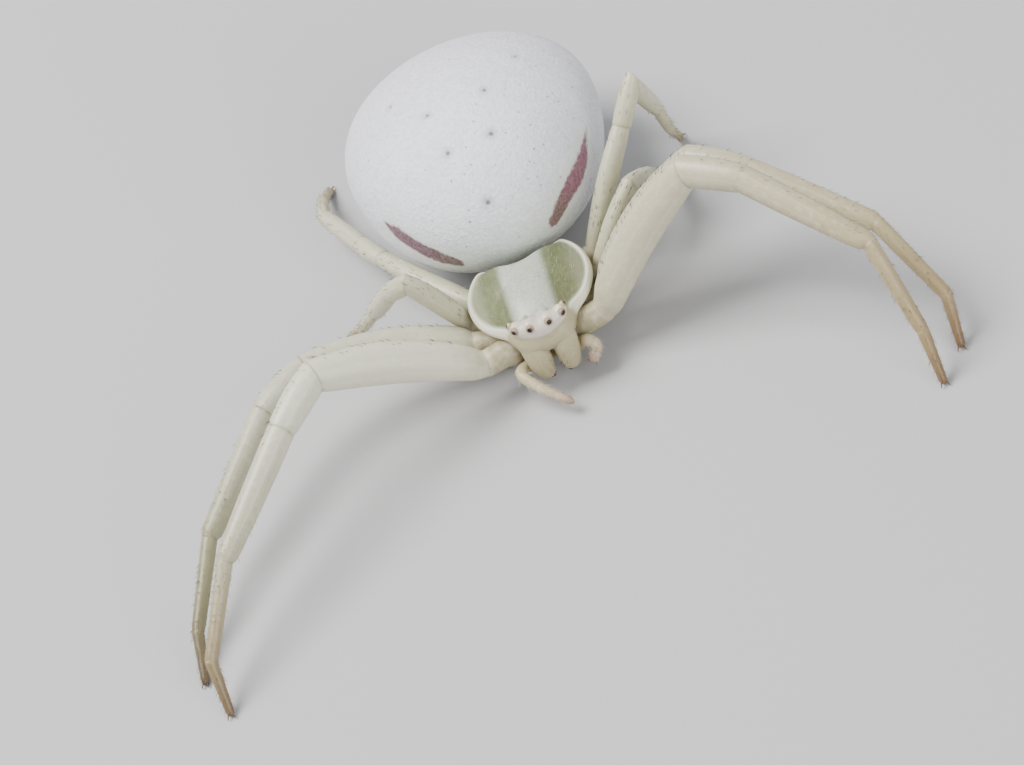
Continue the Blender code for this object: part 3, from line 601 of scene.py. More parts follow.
def make_shield():
    """The shield's skin: each point of the dome moves outwards along its normal to where it
    meets the brow, the knobs and the roots of the jaws, blended in."""
    steps = np.linspace(0.0, 2.0 * np.pi, SHIELD_SIDES, endpoint=False)
    turns = (steps - 0.5 * np.sin(steps))[None, :]
    shares = (1.0 - np.linspace(0.03, 1.0, 150)[:-1] ** 1.6)[:, None]
    turns, shares = np.broadcast_arrays(turns, shares)
    points = shield_point(turns, shares)
    along = np.gradient(points, axis=0)
    around = np.roll(points, -1, axis=1) - np.roll(points, 1, axis=1)
    normal = unit(np.cross(along, around))
    normal *= np.where(normal[..., 2:] < 0, -1.0, 1.0)
    reach = np.zeros(points.shape[:2])
    found = np.zeros(points.shape[:2], bool)
    jaw_blend = 0.01 + 0.21 * smooth_step((points[..., 2] - CARAPACE_EDGE + 0.14) / 0.30)
    step = 0.02
    before = np.full(points.shape[:2], 1.0)
    for out in np.arange(0.40, -0.001, -step):
        moved = points + normal * out
        gap = blended(np.full_like(reach, out), jaw_distance(moved), jaw_blend)
        gap = blended(gap, brow_distance(moved), 0.09)
        now = (gap <= 0.0) & ~found
        reach[now] = out + step * (gap / (gap - before))[now]
        found |= now
        before = gap
    points = points + normal * np.clip(reach, 0.0, None)[..., None]
    edge = CARAPACE_EDGE - FACE_EDGE_DROP * face_share(turns[0], FACE_RIM_ANGLES)
    floor = []
    for share, climb in ((0.55, 0.0), (0.85, 0.0), (0.93, 0.5), (0.99, 0.92), (1.0, 1.12)):
        ring = shield_point(turns[0], np.full(SHIELD_SIDES, share))
        ring[:, 2] = CARAPACE_FLOOR + (edge - CARAPACE_FLOOR) * climb
        floor.append(ring)
    rings = np.concatenate([np.array(floor), points])
    share_mark = np.concatenate([np.ones((len(floor), SHIELD_SIDES)), shares])
    brow_mark = brow_distance(rings)
    skin = ring_skin("shield_skin", rings, shield_material(),
                     marks={"share": share_mark, "brow": brow_mark})
    put_on(skin, "shield", "carapace")
    return rings, np.linspace(0.0, 7.0, len(rings))


# Cream of the face and the jaws
FACE_TONE = (0.372, 0.330, 0.200)
FACE_LIGHT_TONE = (0.455, 0.408, 0.262)


def shield_material():
    """Pale green sides with fine streaks, a white granular band along the middle, a pale
    see-through rim, a pinkish white brow, cream round the outer eyes and a cream face."""
    material, place = new_material(
        "shield skin", Roughness=0.34, Subsurface_Weight=0.35, Subsurface_Scale=0.0003,
        Subsurface_Radius=(1.0, 1.0, 0.7))
    x, y, z = place.axes()
    share, brow = place.mark("share"), place.mark("brow")
    wide = x.absolute()
    streak = place.stretched(1.0, 0.35, 1.0).noise(0.10, 3.0, 0.6)
    colour = streak.step(0.35, 0.7).mix((0.125, 0.146, 0.064), (0.182, 0.200, 0.100))
    flecks = place.noise(0.045, 2.0, 0.6).step(0.60, 0.70)
    colour = (flecks * 0.35).mix(colour, (0.36, 0.37, 0.22))
    # Darker green towards the back: painted shade under the overhanging abdomen.
    rear = y.step(-4.3, -3.3)
    colour = (rear * 0.25).mix(colour, (0.12, 0.15, 0.06))
    colour = (wide.step(0.95, 1.35) * 0.60).mix(colour, (0.35, 0.355, 0.245))
    colour = (share.step(0.875, 0.955) * 0.92).mix(colour, (0.76, 0.75, 0.62))
    edge = wide + 0.10 * (place.noise(0.35, 3.0, 0.6) - 0.5)
    # The band fades over its last stretch at the back: painted shade under the abdomen.
    band = edge.step(0.66, 0.44) * y.step(-6.1, -5.7) * (1.0 - 0.6 * y.step(-3.52, -3.25))
    granules = place.noise(0.06, 3.0, 0.65).step(0.3, 0.7)
    band_colour = granules.mix((0.365, 0.39, 0.32), (0.49, 0.515, 0.445))
    colour = band.mix(colour, band_colour)
    cream = place.noise(0.12, 2.0).mix(FACE_TONE, FACE_LIGHT_TONE)
    colour = (y.step(-5.62, -5.80) * z.step(1.98, 1.86)).mix(colour, cream)
    colour = (wide.step(0.62, 0.70) * y.step(-5.35, -5.55)).mix(colour, cream)
    brow_mask = brow.step(0.042, 0.002)
    pink = place.noise(0.10, 2.0).mix((0.55, 0.485, 0.405), (0.67, 0.61, 0.54))
    colour = brow_mask.mix(colour, pink)
    mirrored = place.node("ShaderNodeVectorMath", {"operation": "ABSOLUTE"}, {0: place})
    colour = (mirrored.distance((0.56, 5.60, 2.20)).step(0.15, 0.05) * 0.75).mix(colour, (0.84, 0.70, 0.50))
    for name, dark in (("front_middle", 0.75), ("front_outer", 0.85), ("rear_outer", 0.22)):
        across, ahead, height, radius = EYES[name]
        ring = mirrored.distance((across, -ahead, height))
        colour = (ring.step(0.135, 0.075) * dark).mix(colour, (0.24, 0.16, 0.09))
    height = place.noise(0.04, 3.0, 0.6) * 0.008 + streak * 0.008
    return finish_material(material, Base_Color=colour, Normal=place.relief(height, 0.6))


def eye_material(name, core, ring, skin):
    """A small lens: a dark core, a brown ring, and at its edge the tone of the skin."""
    material, place = new_material(name, Roughness=0.22, Specular_IOR_Level=0.35)
    facing = place.mark("facing")
    colour = facing.step(0.35, 0.72).mix(skin, ring)
    colour = facing.step(0.70, 0.88).mix(colour, core)
    return finish_material(material, Base_Color=colour)


EYE_WAYS = {
    "front_middle": (0.25, -0.95, 0.35),
    "front_outer": (0.55, -0.80, 0.10),
    "rear_outer": (0.90, -0.10, 0.45),
    "rear_middle": (0.25, -0.30, 0.95),
}


def make_eyes():
    """Eight small balls, each with its pole where it looks."""
    dark = eye_material("eye", (0.010, 0.007, 0.006), (0.12, 0.08, 0.05), (0.37, 0.29, 0.21))
    amber = eye_material("rear eye", (0.06, 0.038, 0.018), (0.38, 0.28, 0.16), (0.56, 0.45, 0.31))
    pale = eye_material("pale eye", (0.36, 0.37, 0.31), (0.40, 0.42, 0.35), (0.42, 0.44, 0.37))
    for name, (across, ahead, height, radius) in EYES.items():
        material = {"rear_middle": pale, "rear_outer": amber}.get(name, dark)
        for side, sign in SIDE_SIGNS.items():
            centre = np.array((sign * across, ahead, height))
            way = unit(np.array(EYE_WAYS[name]) * (sign, 1, 1))
            side_way = unit(np.cross(way, UP))
            up_way = np.cross(side_way, way)
            tilt = np.linspace(0.0, np.pi, 22)[1:-1][:, None, None]
            turn = np.linspace(0.0, 2.0 * np.pi, 28, endpoint=False)[None, :, None]
            rings = centre + radius * (np.cos(tilt) * way + np.sin(tilt)
                                       * (np.cos(turn) * side_way + np.sin(turn) * up_way))
            facing = np.broadcast_to(np.cos(tilt)[..., 0], rings.shape[:2])
            eye = ring_skin(f"eye_{name}_{side}_lens", rings, material, marks={"facing": facing})
            put_on(eye, "eye", f"eye_{name}_{side}")


# Jaws, palps, underside

PALP_PATHS = {
    "left": ((0.64, -5.60, 0.72), (0.84, -5.81, 0.94), (0.98, -5.95, 0.78), (0.74, -6.05, 0.44)),
    "right": ((0.68, -5.58, 0.72), (0.91, -5.98, 0.88), (0.63, -6.42, 0.72), (0.31, -6.72, 0.54),
              (-0.03, -7.00, 0.36)),
}
PALP_RADIUS = 0.165
PALP_TAPER = {"left": 0.10, "right": 0.42}


def jaw_material():
    """The cream of the face, brown and purple near the tip."""
    material, place = new_material(
        "jaw skin", Roughness=0.34, Subsurface_Weight=0.35, Subsurface_Scale=0.0003,
        Subsurface_Radius=(1.0, 1.0, 0.7))
    x, y, z = place.axes()
    colour = place.noise(0.12, 2.0).mix(FACE_TONE, FACE_LIGHT_TONE)
    colour = (z.step(1.5, 0.9) * 0.7).mix(colour, (0.315, 0.272, 0.145))
    veins = place.stretched(1.0, 1.0, 0.3).noise(0.07, 2.0, 0.6).step(0.58, 0.70)
    colour = (veins * 0.25).mix(colour, (0.55, 0.53, 0.38))
    tip = (z + 0.16 * (place.noise(0.12) - 0.5)).step(0.70, 0.52)
    colour = (tip * 0.8).mix(colour, (0.15, 0.065, 0.055))
    # Dark brown at the middle where the two jaws meet, below the face: painted shade in the gap between
    # them.
    inner = x.absolute().step(0.10, 0.03) * z.step(1.34, 1.20)
    colour = (inner * 0.6).mix(colour, (0.20, 0.13, 0.08))
    speck = place.distance((-0.17, -6.21, 1.0)).step(0.035, 0.020)
    colour = (speck * 0.9).mix(colour, (0.02, 0.015, 0.015))
    return finish_material(material, Base_Color=colour,
                           Normal=place.relief(place.noise(0.05) * 0.006, 0.6))


def make_jaws(material):
    """Two stout tapering jaws, each bulging forwards, with its fang folded in."""
    fang_material, place = new_material("fang", Roughness=0.25)
    shade = place.noise(0.1).mix((0.06, 0.028, 0.022), (0.12, 0.055, 0.04))
    finish_material(fang_material, Base_Color=shade)
    skins = {}
    for side, sign in SIDE_SIGNS.items():
        flip = np.array((sign, 1, 1))
        path = smooth_path(JAW_PATH, 54) * flip
        place_along = np.linspace(-0.45, 1.0, 54)
        wide = JAW_HALF_WIDTH + (JAW_TIP_HALF_WIDTH - JAW_HALF_WIDTH) * place_along.clip(0) ** 1.7
        wide *= np.sqrt(np.clip(1.0 - ((place_along - 0.86) / 0.15).clip(0) ** 2, 0.05, 1.0))
        rings = tube_rings(path, wide, wide * JAW_DEPTH_SHARE, (1, 0, 0), 36)
        jaw = ring_skin(f"jaw_{side}_skin", rings, material)
        put_on(jaw, "jaw", f"jaw_{side}")
        skins[side] = (rings, np.linspace(0.0, 7.0, len(rings)))
        tip = np.array(JAW_TIP)
        knots = [tip + np.array(shift) for shift in ((0.03, 0.02, 0.03), (-0.05, 0.03, -0.05),
                                                     (-0.13, 0.10, -0.05))]
        fang_path = smooth_path(knots, 12) * flip
        radii = 0.05 * np.linspace(1.0, 0.0, 12) ** 0.6 + 0.004
        fang = ring_skin(f"fang_{side}", tube_rings(fang_path, radii, radii, (0, 1, 0), 14),
                         fang_material)
        put_on(fang, "jaw")
    return skins


def limb_material(name, tones):
    """Ivory skin with pale clouds and veins lengthwise and brown seams at the joints. The
    tones run from the hip to the foot; the unwrap's first number is the turn."""
    material, place = new_material(
        name, Roughness=0.36, Subsurface_Weight=0.45, Subsurface_Scale=0.00045,
        Subsurface_Radius=(1.0, 0.95, 0.6))
    reach, joint = place.mark("reach"), place.mark("joint")
    wander = reach + 0.30 * (place.noise(0.3, 2.0) - 0.5)
    colour = place.node("ShaderNodeValToRGB", {"stops": tones}, {"Fac": wander / 7.0})
    turn = place.node("ShaderNodeUVMap", {"uv_map": "skin"}).axes()[0]
    ripple = (turn * 50.3).maths("SINE", turn * 50.3 + 2.0 * place.noise(0.6)) * 0.5 + 0.5
    cloud = place.noise(0.16, 3.0, 0.6).step(0.45, 0.72)
    shallow = reach.step(5.2, 4.6)
    colour = (cloud * shallow * 0.20).mix(colour, (0.76, 0.76, 0.66))
    veins = ripple.step(0.80, 1.0) * shallow * reach.step(1.9, 2.3)
    colour = (veins * 0.10).mix(colour, (0.80, 0.80, 0.70))
    specks = place.cells(0.14).step(0.16, 0.08) * place.noise(0.5).step(0.5, 0.65)
    colour = (specks * 0.30).mix(colour, (0.36, 0.29, 0.17))
    seam = joint.step(0.5, 1.0) * (0.06 + 0.40 * place.noise(0.15).step(0.48, 0.64))
    colour = seam.mix(colour, (0.38, 0.28, 0.18))
    height = place.noise(0.03, 2.0, 0.6) * 0.005 + cloud * 0.004
    return finish_material(material, Base_Color=colour, Normal=place.relief(height, 0.7))


# Tones along a limb, at shares of the way from the hip to the tip
HIP_TONE = (0.350, 0.312, 0.195)
# The legs share one colour: the left legs and the second right leg take darker, yellower copies of the
# first right leg's tones, as painted shade.
LIMB_TONES = {
    "right leg 1": (
        (0.0, HIP_TONE), (0.24, HIP_TONE), (0.32, (0.63, 0.615, 0.475)), (0.54, (0.585, 0.575, 0.465)),
        (0.62, (0.48, 0.465, 0.35)), (0.70, (0.40, 0.38, 0.27)), (0.78, (0.33, 0.285, 0.175)),
        (0.88, (0.23, 0.175, 0.09)), (1.0, (0.13, 0.08, 0.04)),
    ),
    "right leg 2": (
        (0.0, HIP_TONE), (0.24, HIP_TONE), (0.32, (0.53, 0.52, 0.395)), (0.54, (0.51, 0.50, 0.39)),
        (0.66, (0.38, 0.37, 0.25)), (0.74, (0.28, 0.275, 0.16)), (0.86, (0.18, 0.155, 0.08)),
        (1.0, (0.10, 0.07, 0.035)),
    ),
    "shaded left leg": (
        (0.0, HIP_TONE), (0.24, HIP_TONE), (0.32, (0.51, 0.48, 0.345)), (0.52, (0.48, 0.44, 0.305)),
        (0.64, (0.44, 0.39, 0.25)), (0.76, (0.375, 0.31, 0.175)), (0.88, (0.29, 0.21, 0.105)),
        (1.0, (0.16, 0.09, 0.045)),
    ),
    "short leg": (
        (0.0, HIP_TONE), (0.24, HIP_TONE), (0.32, (0.49, 0.48, 0.34)), (0.70, (0.52, 0.505, 0.37)),
        (0.85, (0.45, 0.42, 0.285)), (1.0, (0.30, 0.22, 0.12)),
    ),
    "palp": (
        (0.0, (0.40, 0.34, 0.20)), (0.5, (0.47, 0.40, 0.26)), (0.82, (0.45, 0.35, 0.26)),
        (1.0, (0.25, 0.145, 0.12)),
    ),
    "underside": (
        (0.0, (0.42, 0.39, 0.25)), (0.5, (0.47, 0.46, 0.33)), (1.0, (0.36, 0.27, 0.17)),
    ),
}


def make_palps(material):
    """Two short feelers in rings, narrowed at their joints: each radius dips as a wave."""
    skins = {}
    for side, sign in SIDE_SIGNS.items():
        path = smooth_path(PALP_PATHS[side], 90) * (sign, 1, 1)
        place = np.linspace(0.0, 1.0, 90)
        dips = np.exp(-((np.abs((place * 4.0 + 0.5) % 1.0 - 0.5) / 0.07) ** 2))
        radii = PALP_RADIUS * (1.0 - PALP_TAPER[side] * place) * (1.0 - 0.12 * dips)
        radii *= np.sqrt(np.clip(1.0 - ((place - 0.90) / 0.103).clip(0) ** 2, 0.02, 1.0))
        rings = tube_rings(path, radii, radii, UP, 24)
        marks = {"reach": np.repeat(place[:, None] * 7.0, 24, 1),
                 "joint": np.repeat(dips[:, None], 24, 1)}
        palp = ring_skin(f"palp_{side}_skin", rings, material, marks=marks)
        put_on(palp, "leg", f"palp_{side}")
        skins[side] = (rings, place * 7.0)
    return skins


# Legs

FEMUR, PATELLA, TIBIA, METATARSUS, TARSUS = range(2, 7)
LEG_LENGTHS = {
    1: (4.40, 1.50, 3.40, 2.35, 1.35),
    2: (4.15, 1.45, 3.35, 2.30, 1.30),
    3: (2.15, 0.90, 1.50, 1.05, 0.80),
    4: (3.10, 1.00, 1.90, 1.20, 0.85),
}
# Half the thickness at the start and at the end of each piece, from the thigh outwards
LONG_RADII = ((0.42, 0.385), (0.375, 0.345), (0.335, 0.25), (0.195, 0.165), (0.15, 0.10))
SHORT_RADII = ((0.245, 0.25), (0.25, 0.24), (0.24, 0.20), (0.16, 0.14), (0.13, 0.09))
LONG_SWELLS = (0.11, 0.03, 0.02, 0.0, 0.0)
SHORT_SWELLS = (0.05, 0.02, 0.01, 0.0, 0.0)
LONG_ARCHES = (0.20, 0.03, 0.0, 0.0, 0.0)
SHORT_ARCHES = (0.10, 0.02, 0.0, 0.0, 0.0)
THIGH_BASE_NARROWING = 0.22
THIGH_BASE_REACH = 0.28
NECK_RADIUS = {1: 0.33, 2: 0.29, 3: 0.24, 4: 0.24}
HIP_BULGE = {1: 0.34, 2: 0.27, 3: 0.25, 4: 0.25}
WIDTH_SHARES = (1.0, 1.0, 0.86, 0.92, 0.95, 1.0, 1.0)
PIECE_RINGS = (22, 16, 40, 20, 30, 24, 22)
FOOT_HEIGHT = 0.03
STERNUM_MIDDLE = (0.0, -4.55)
STERNUM_HALF_WIDTH = 0.56
STERNUM_HALF_LENGTH = 0.82
HIP_INNER_AHEAD = {1: 0.66, 2: 0.22, 3: -0.22, 4: -0.66}
HIP_INNER_HEIGHT = 0.86
HIP_OUTER = {
    1: (1.15, 0.75, 1.10), 2: (1.38, 0.07, 0.98), 3: (1.38, -0.60, 0.93), 4: (1.14, -1.16, 0.92),
}
HIP_END = {
    ("left", 1): (1.46, 0.70, 1.13),
    ("left", 2): (1.63, -0.04, 0.97),
    ("left", 3): (1.68, -0.80, 1.00),
    ("left", 4): (1.68, -1.46, 1.00),
    ("right", 1): (1.61, 0.81, 1.08),
    ("right", 2): (1.74, -0.06, 1.00),
    ("right", 3): (1.72, -0.74, 1.00),
    ("right", 4): (1.46, -1.40, 1.00),
}
LEG_SIDES = 28
LEG_POSES = {
    ("left", 1): {"heading": 34.8, "lean": 30.6, "slopes": (54.2, -4.4, -24.4, -60.8)},
    ("left", 2): {"heading": 32.3, "lean": 35.1, "slopes": (50.5, -9.5, -20.8, -46.0)},
    ("left", 3): {"heading": -43.6, "lean": -17.4, "slopes": (42.0, -35.0, -55.0, -37.0)},
    ("left", 4): {"heading": -48.8, "lean": -10.3, "slopes": (41.3, 38.9, -66.0, -74.5)},
    ("right", 1): {"heading": 34.0, "lean": 35.7, "slopes": (39.9, -12.7, -20.1, -36.1)},
    ("right", 2): {"heading": 27.5, "lean": 56.7, "slopes": (33.7, -4.6, -24.5, -40.4)},
    ("right", 3): {"heading": -33.7, "lean": -12.6, "slopes": (68.0, -36.0, -49.3, -48.5)},
    ("right", 4): {"heading": -58.5, "lean": -51.9, "slopes": (5.8, -6.3, -10.6, -37.8)},
}



def leg_joints(side, number):
    """The points where a leg's seven pieces meet, and the direction across its bends."""
    sign = SIDE_SIGNS[side]
    pose = LEG_POSES[side, number]
    heading, lean = np.radians((pose["heading"], pose["lean"]))
    out = np.array((sign * np.cos(heading), -np.sin(heading), 0.0))
    back = np.array((sign * np.sin(heading), np.cos(heading), 0.0))
    rise = np.array((0.0, 0.0, np.cos(lean))) + np.sin(lean) * back
    inner_ahead = HIP_INNER_AHEAD[number]
    inner = STERNUM_HALF_WIDTH * (1.0 - (abs(inner_ahead) / STERNUM_HALF_LENGTH) ** 3) ** (1 / 3)
    joints = []
    places = [(inner - 0.12, inner_ahead, HIP_INNER_HEIGHT), HIP_OUTER[number], HIP_END[side, number]]
    for across, ahead, height in places:
        joints.append(np.array((sign * across, STERNUM_MIDDLE[1] - ahead, height)))
    slopes = np.radians(pose["slopes"])
    for length, slope in zip(LEG_LENGTHS[number], slopes):
        joints.append(joints[-1] + length * (np.cos(slope) * out + np.sin(slope) * rise))
    length = LEG_LENGTHS[number][-1]
    drop = np.clip((FOOT_HEIGHT - joints[-1][2]) / (length * rise[2]), -1.0, 1.0)
    joints.append(joints[-1] + length * (np.sqrt(1.0 - drop ** 2) * out + drop * rise))
    return joints, np.cross(rise, out)


def piece_radii(number, k, shares, length):
    """Half the thickness along one piece: a hip swells to its bulge and the ring beyond it
    narrows again, and any other piece runs evenly from its first to its last value, swells
    as a half sine, and on the long thighs is rounded off to a narrow base."""
    bulge = HIP_BULGE[number]
    if k == 0:
        return 0.18 + (bulge - 0.18) * smooth_step((shares - 0.15) / 0.6)
    if k == 1:
        return bulge + (NECK_RADIUS[number] - bulge) * smooth_step(shares / 0.7)
    table, swells = (LONG_RADII, LONG_SWELLS) if number < 3 else (SHORT_RADII, SHORT_SWELLS)
    first, final = table[k - 2]
    body = first + (final - first) * shares + swells[k - 2] * np.sin(np.pi * shares)
    if k == FEMUR and number < 3:
        body = body * (1.0 - THIGH_BASE_NARROWING * np.exp(-((shares * length / THIGH_BASE_REACH) ** 2)))
    return body


def leg_rings(side, number):
    """Oval rings along a whole leg. A ring of a piece lies at start + share of its length,
    sheared so that the piece's end rings lie in the planes that halve the bends. Near each
    joint the radius runs over into that of the next piece, with a slight dip."""
    joints, side_way = leg_joints(side, number)
    ways = [unit(after - before) for before, after in zip(joints, joints[1:])]
    lengths = [np.linalg.norm(after - before) for before, after in zip(joints, joints[1:])]
    planes = [np.array((float(SIDE_SIGNS[side]), 0.0, 0.0))]
    planes += [unit(before + after) for before, after in zip(ways, ways[1:])]
    planes.append(ways[-1])
    arches = (0.0, 0.0) + (LONG_ARCHES if number < 3 else SHORT_ARCHES)
    ends = [piece_radii(number, k, np.array((0.0, 1.0)), lengths[k]) for k in range(len(ways))]
    joint_radii = [0.985 * min(before[1], after[0]) for before, after in zip(ends, ends[1:])]
    turns = np.linspace(0.0, 2.0 * np.pi, LEG_SIDES, endpoint=False)
    rings, reach, folds = [], [], []
    for k, (ahead, length) in enumerate(zip(ways, lengths)):
        wide = unit(side_way - ahead * np.dot(side_way, ahead))
        deep = np.cross(ahead, wide)
        last = k == TARSUS
        t = np.linspace(0.0, 1.0, PIECE_RINGS[k])
        shares = 0.35 * t + 0.65 * (1.0 - np.cos(np.pi * t)) / 2
        body = piece_radii(number, k, shares, length)
        near = np.exp(-((shares * length / 0.09) ** 2)) * (k > 0)
        far = np.exp(-(((1.0 - shares) * length / 0.09) ** 2)) * (not last)
        if k > 0:
            body = body + (joint_radii[k - 1] - body) * near
        if last:
            body = body * np.sqrt(np.clip(1.0 - ((shares - 0.90) / 0.102).clip(0) ** 2, 0.02, 1.0))
        else:
            body = body + (joint_radii[k] - body) * far
        offset = (np.cos(turns)[:, None] * wide * WIDTH_SHARES[k] + np.sin(turns)[:, None] * deep)
        offset = body[:, None, None] * offset
        offset = offset + (arches[k] * np.sin(np.pi * shares))[:, None, None] * deep
        first = -(offset @ planes[k]) / np.dot(planes[k], ahead)
        final = length - (offset @ planes[k + 1]) / np.dot(planes[k + 1], ahead)
        along = first * (1.0 - shares)[:, None] + final * shares[:, None]
        rings.append(joints[k] + offset + along[..., None] * ahead)
        reach.append(k + shares)
        folds.append(np.maximum(near, far))
    rings = np.concatenate(rings)
    rings[..., 2] = np.maximum(rings[..., 2], 0.0)
    return rings, np.concatenate(reach), np.concatenate(folds)


LONG_NODES = ("hip", "femur", "patella", "tibia", "metatarsus", "tarsus")
SHORT_NODES = ("hip", "femur", "patella_tibia", "foot")


def make_legs(materials):
    """The skin of each leg, from the breast plate to the tip of the foot, with its claws."""
    claw_material, place = new_material("claw", Roughness=0.3)
    finish_material(claw_material, Base_Color=place.noise(0.05).mix((0.05, 0.025, 0.015),
                                                                    (0.12, 0.06, 0.03)))
    skins = {}
    for side, number in LEG_POSES:
        rings, reach, folds = leg_rings(side, number)
        marks = {"reach": np.repeat(reach[:, None], LEG_SIDES, 1),
                 "joint": np.repeat(folds[:, None], LEG_SIDES, 1)}
        name = "short leg" if number > 2 else "shaded left leg" if side == "left" else f"right leg {number}"
        material = materials[name]
        skin = ring_skin(f"leg_{side}_{number}_skin", rings, material, reach / 7.0, marks)
        names = LONG_NODES if number < 3 else SHORT_NODES
        put_on(skin, "leg", *[f"{name}_{side}_{number}" for name in names])
        skins[side, number] = (rings, reach)
        middle = rings.mean(axis=1)
        tip, way = middle[-2], unit(middle[-2] - middle[-8])
        across = unit(np.cross(way, UP))
        claws = []
        for lean in (-1, 1):
            root = tip + across * lean * 0.035 - way * 0.05
            level = unit(way * (1, 1, 0.15) + across * lean * 0.25)
            knots = [root, root + level * 0.09 + UP * 0.035, root + level * 0.15 + UP * 0.01,
                     root + level * 0.17 - UP * 0.035]
            path = smooth_path(knots, 12)
            path[:, 2] = np.maximum(path[:, 2], 0.012)
            radii = 0.020 * np.linspace(1.0, 0.0, 12) ** 0.6 + 0.002
            claws.append(tube_rings(path, radii, radii, across, 8))
        for lean, claw_rings in zip(("inner", "outer"), claws):
            claw = ring_skin(f"claw_{side}_{number}_{lean}", claw_rings, claw_material)
            put_on(claw, "leg")
    return skins


# Underside and waist

def make_underside(material):
    """The breast plate and the soft wall above it: superellipse rings whose size grows
    with height until they meet the shield."""
    turns = np.linspace(0.0, 2.0 * np.pi, 96, endpoint=False)
    across = np.sign(np.sin(turns)) * np.abs(np.sin(turns)) ** (2 / 3) * STERNUM_HALF_WIDTH
    ahead = np.sign(np.cos(turns)) * np.abs(np.cos(turns)) ** (2 / 3) * STERNUM_HALF_LENGTH
    levels = ((0.15, 0.415), (0.45, 0.42), (0.70, 0.43), (0.85, 0.45), (0.94, 0.49), (0.99, 0.56),
              (1.0, 0.64), (1.0, 0.85), (1.02, 1.00), (1.15, 1.12), (1.45, 1.24), (1.60, 1.345))
    rings = []
    for share, height in levels:
        grow_long = min(share, 1.0 + (share - 1.0) * 0.75)
        rings.append(np.stack([across * share, STERNUM_MIDDLE[1] - ahead * grow_long,
                               np.full_like(turns, height)], axis=1))
    rings = np.array(rings)
    flat = np.zeros(rings.shape[:2])
    body = ring_skin("breast_skin", rings, material, marks={"reach": flat, "joint": flat})
    put_on(body, "leg", "sternum")


def make_waist(material):
    """The narrow waist, ringed by small folds."""
    path = smooth_path([(0.0, -3.75, 0.92), (0.0, -3.1, 0.94), (0.0, -2.55, 0.98)], 40)
    place = np.linspace(0.0, 1.0, 40)
    radii = 0.235 + 0.008 * np.sin(place * 60.0)
    rings = tube_rings(path, radii, radii, (1, 0, 0), 32)
    flat = np.zeros(rings.shape[:2])
    waist = ring_skin("waist_skin", rings, material, marks={"reach": flat, "joint": flat})
    put_on(waist, "leg", "pedicel")


SPINNERET_BASE = (-0.20, 3.00, 0.86)
SPINNERET_PLACES = ((0.19, 0.10), (0.08, -0.02), (0.17, -0.16))
CONE_REACH = (-0.015, 0.48, -0.27)


def make_spinning_cones(material):
    """Six short cones on a low mound at the back of the belly."""
    centre = np.array(SPINNERET_BASE)
    tilt = np.linspace(0.0, np.pi, 24)[1:-1][:, None, None]
    turn = np.linspace(0.0, 2.0 * np.pi, 36, endpoint=False)[None, :, None]
    out = np.array((0.0, 1.0, 0.0))
    mound = centre + 0.40 * (np.cos(tilt) * out + np.sin(tilt)
                             * (np.cos(turn) * np.array((1.0, 0, 0)) + np.sin(turn) * UP))
    flat = np.zeros(mound.shape[:2])
    put_on(ring_skin("spinning_mound", mound, material,
                     marks={"reach": flat + 2.0, "joint": flat}), "abdomen", "spinnerets")
    number = 0
    for across, along in SPINNERET_PLACES:
        for sign in (1, -1):
            root = centre + (sign * across, along * 0.3, -along)
            tip = root + np.array(CONE_REACH) * (sign, 1, 1)
            path = smooth_path([root, tip], 24)
            place = np.linspace(0.0, 1.0, 24)
            radii = 0.13 * (1.0 - 0.55 * place ** 2) * np.sqrt(
                np.clip(1.0 - ((place - 0.88) / 0.122).clip(0) ** 2, 0.02, 1.0))
            radii *= 1.0 - 0.12 * np.exp(-(((place - 0.55) / 0.04) ** 2))
            rings = tube_rings(path, radii, radii, (1, 0, 0), 18)
            reach = np.repeat(7.0 * place[:, None], rings.shape[1], 1)
            number += 1
            put_on(ring_skin(f"spinning_cone_{number}", rings, material,
                             marks={"reach": reach, "joint": 0.0 * reach}), "abdomen")


# Hairs

def spots_on_leg(rings, reach, low, high, turns, count, rng):
    """Places on a leg between two reaches, at turns near the given ones: root, outward
    way, way along the leg, and place on the unwrap."""
    rows = rng.uniform(low, high, count)
    row = np.clip(np.searchsorted(reach, rows), 1, len(reach) - 2)
    turn = rng.choice(turns, count) + rng.normal(0.0, 0.10, count)
    sides = rings.shape[1]
    column = np.round(turn / (2 * np.pi) * sides).astype(int) % sides
    root = rings[row, column]
    middle = rings.mean(axis=1)
    outward = unit(root - middle[row])
    along = unit(middle[row + 1] - middle[row - 1])
    flat = np.stack([column / sides, reach[row] / 7.0], 1)
    return root, outward, along, flat


def grow_hairs(name, rings, reach, parts, share, rng, material, slot="leg"):
    """Hairs on one limb. Each part is (lowest reach, highest reach, turns, count, length,
    radius); the hairs lean towards the tip and bend over with it."""
    roots, ways, bends, lengths, radii, flats = [], [], [], [], [], []
    for low, high, turns, count, length, radius in parts:
        count = int(count * share)
        root, outward, along, flat = spots_on_leg(rings, reach, low, high, turns, count, rng)
        roots.append(root - outward * 0.01)
        ways.append(unit(outward * 0.75 + along * 0.65 + rng.normal(0, 0.12, (count, 3))))
        bends.append(along * 0.35 - outward * 0.15)
        lengths.append(length * rng.uniform(0.7, 1.25, count))
        radii.append(np.full(count, radius))
        flats.append(flat)
    roots, ways, bends = map(np.concatenate, (roots, ways, bends))
    lengths, radii, flats = map(np.concatenate, (lengths, radii, flats))
    tips = roots + (ways + bends) * lengths[:, None]
    keep = (tips[:, 2] > 0.004) & (roots[:, 2] > 0.01)
    piece = hair_mesh(name, roots[keep], ways[keep], bends[keep], lengths[keep], radii[keep],
                      flats[keep], material)
    put_on(piece, slot)


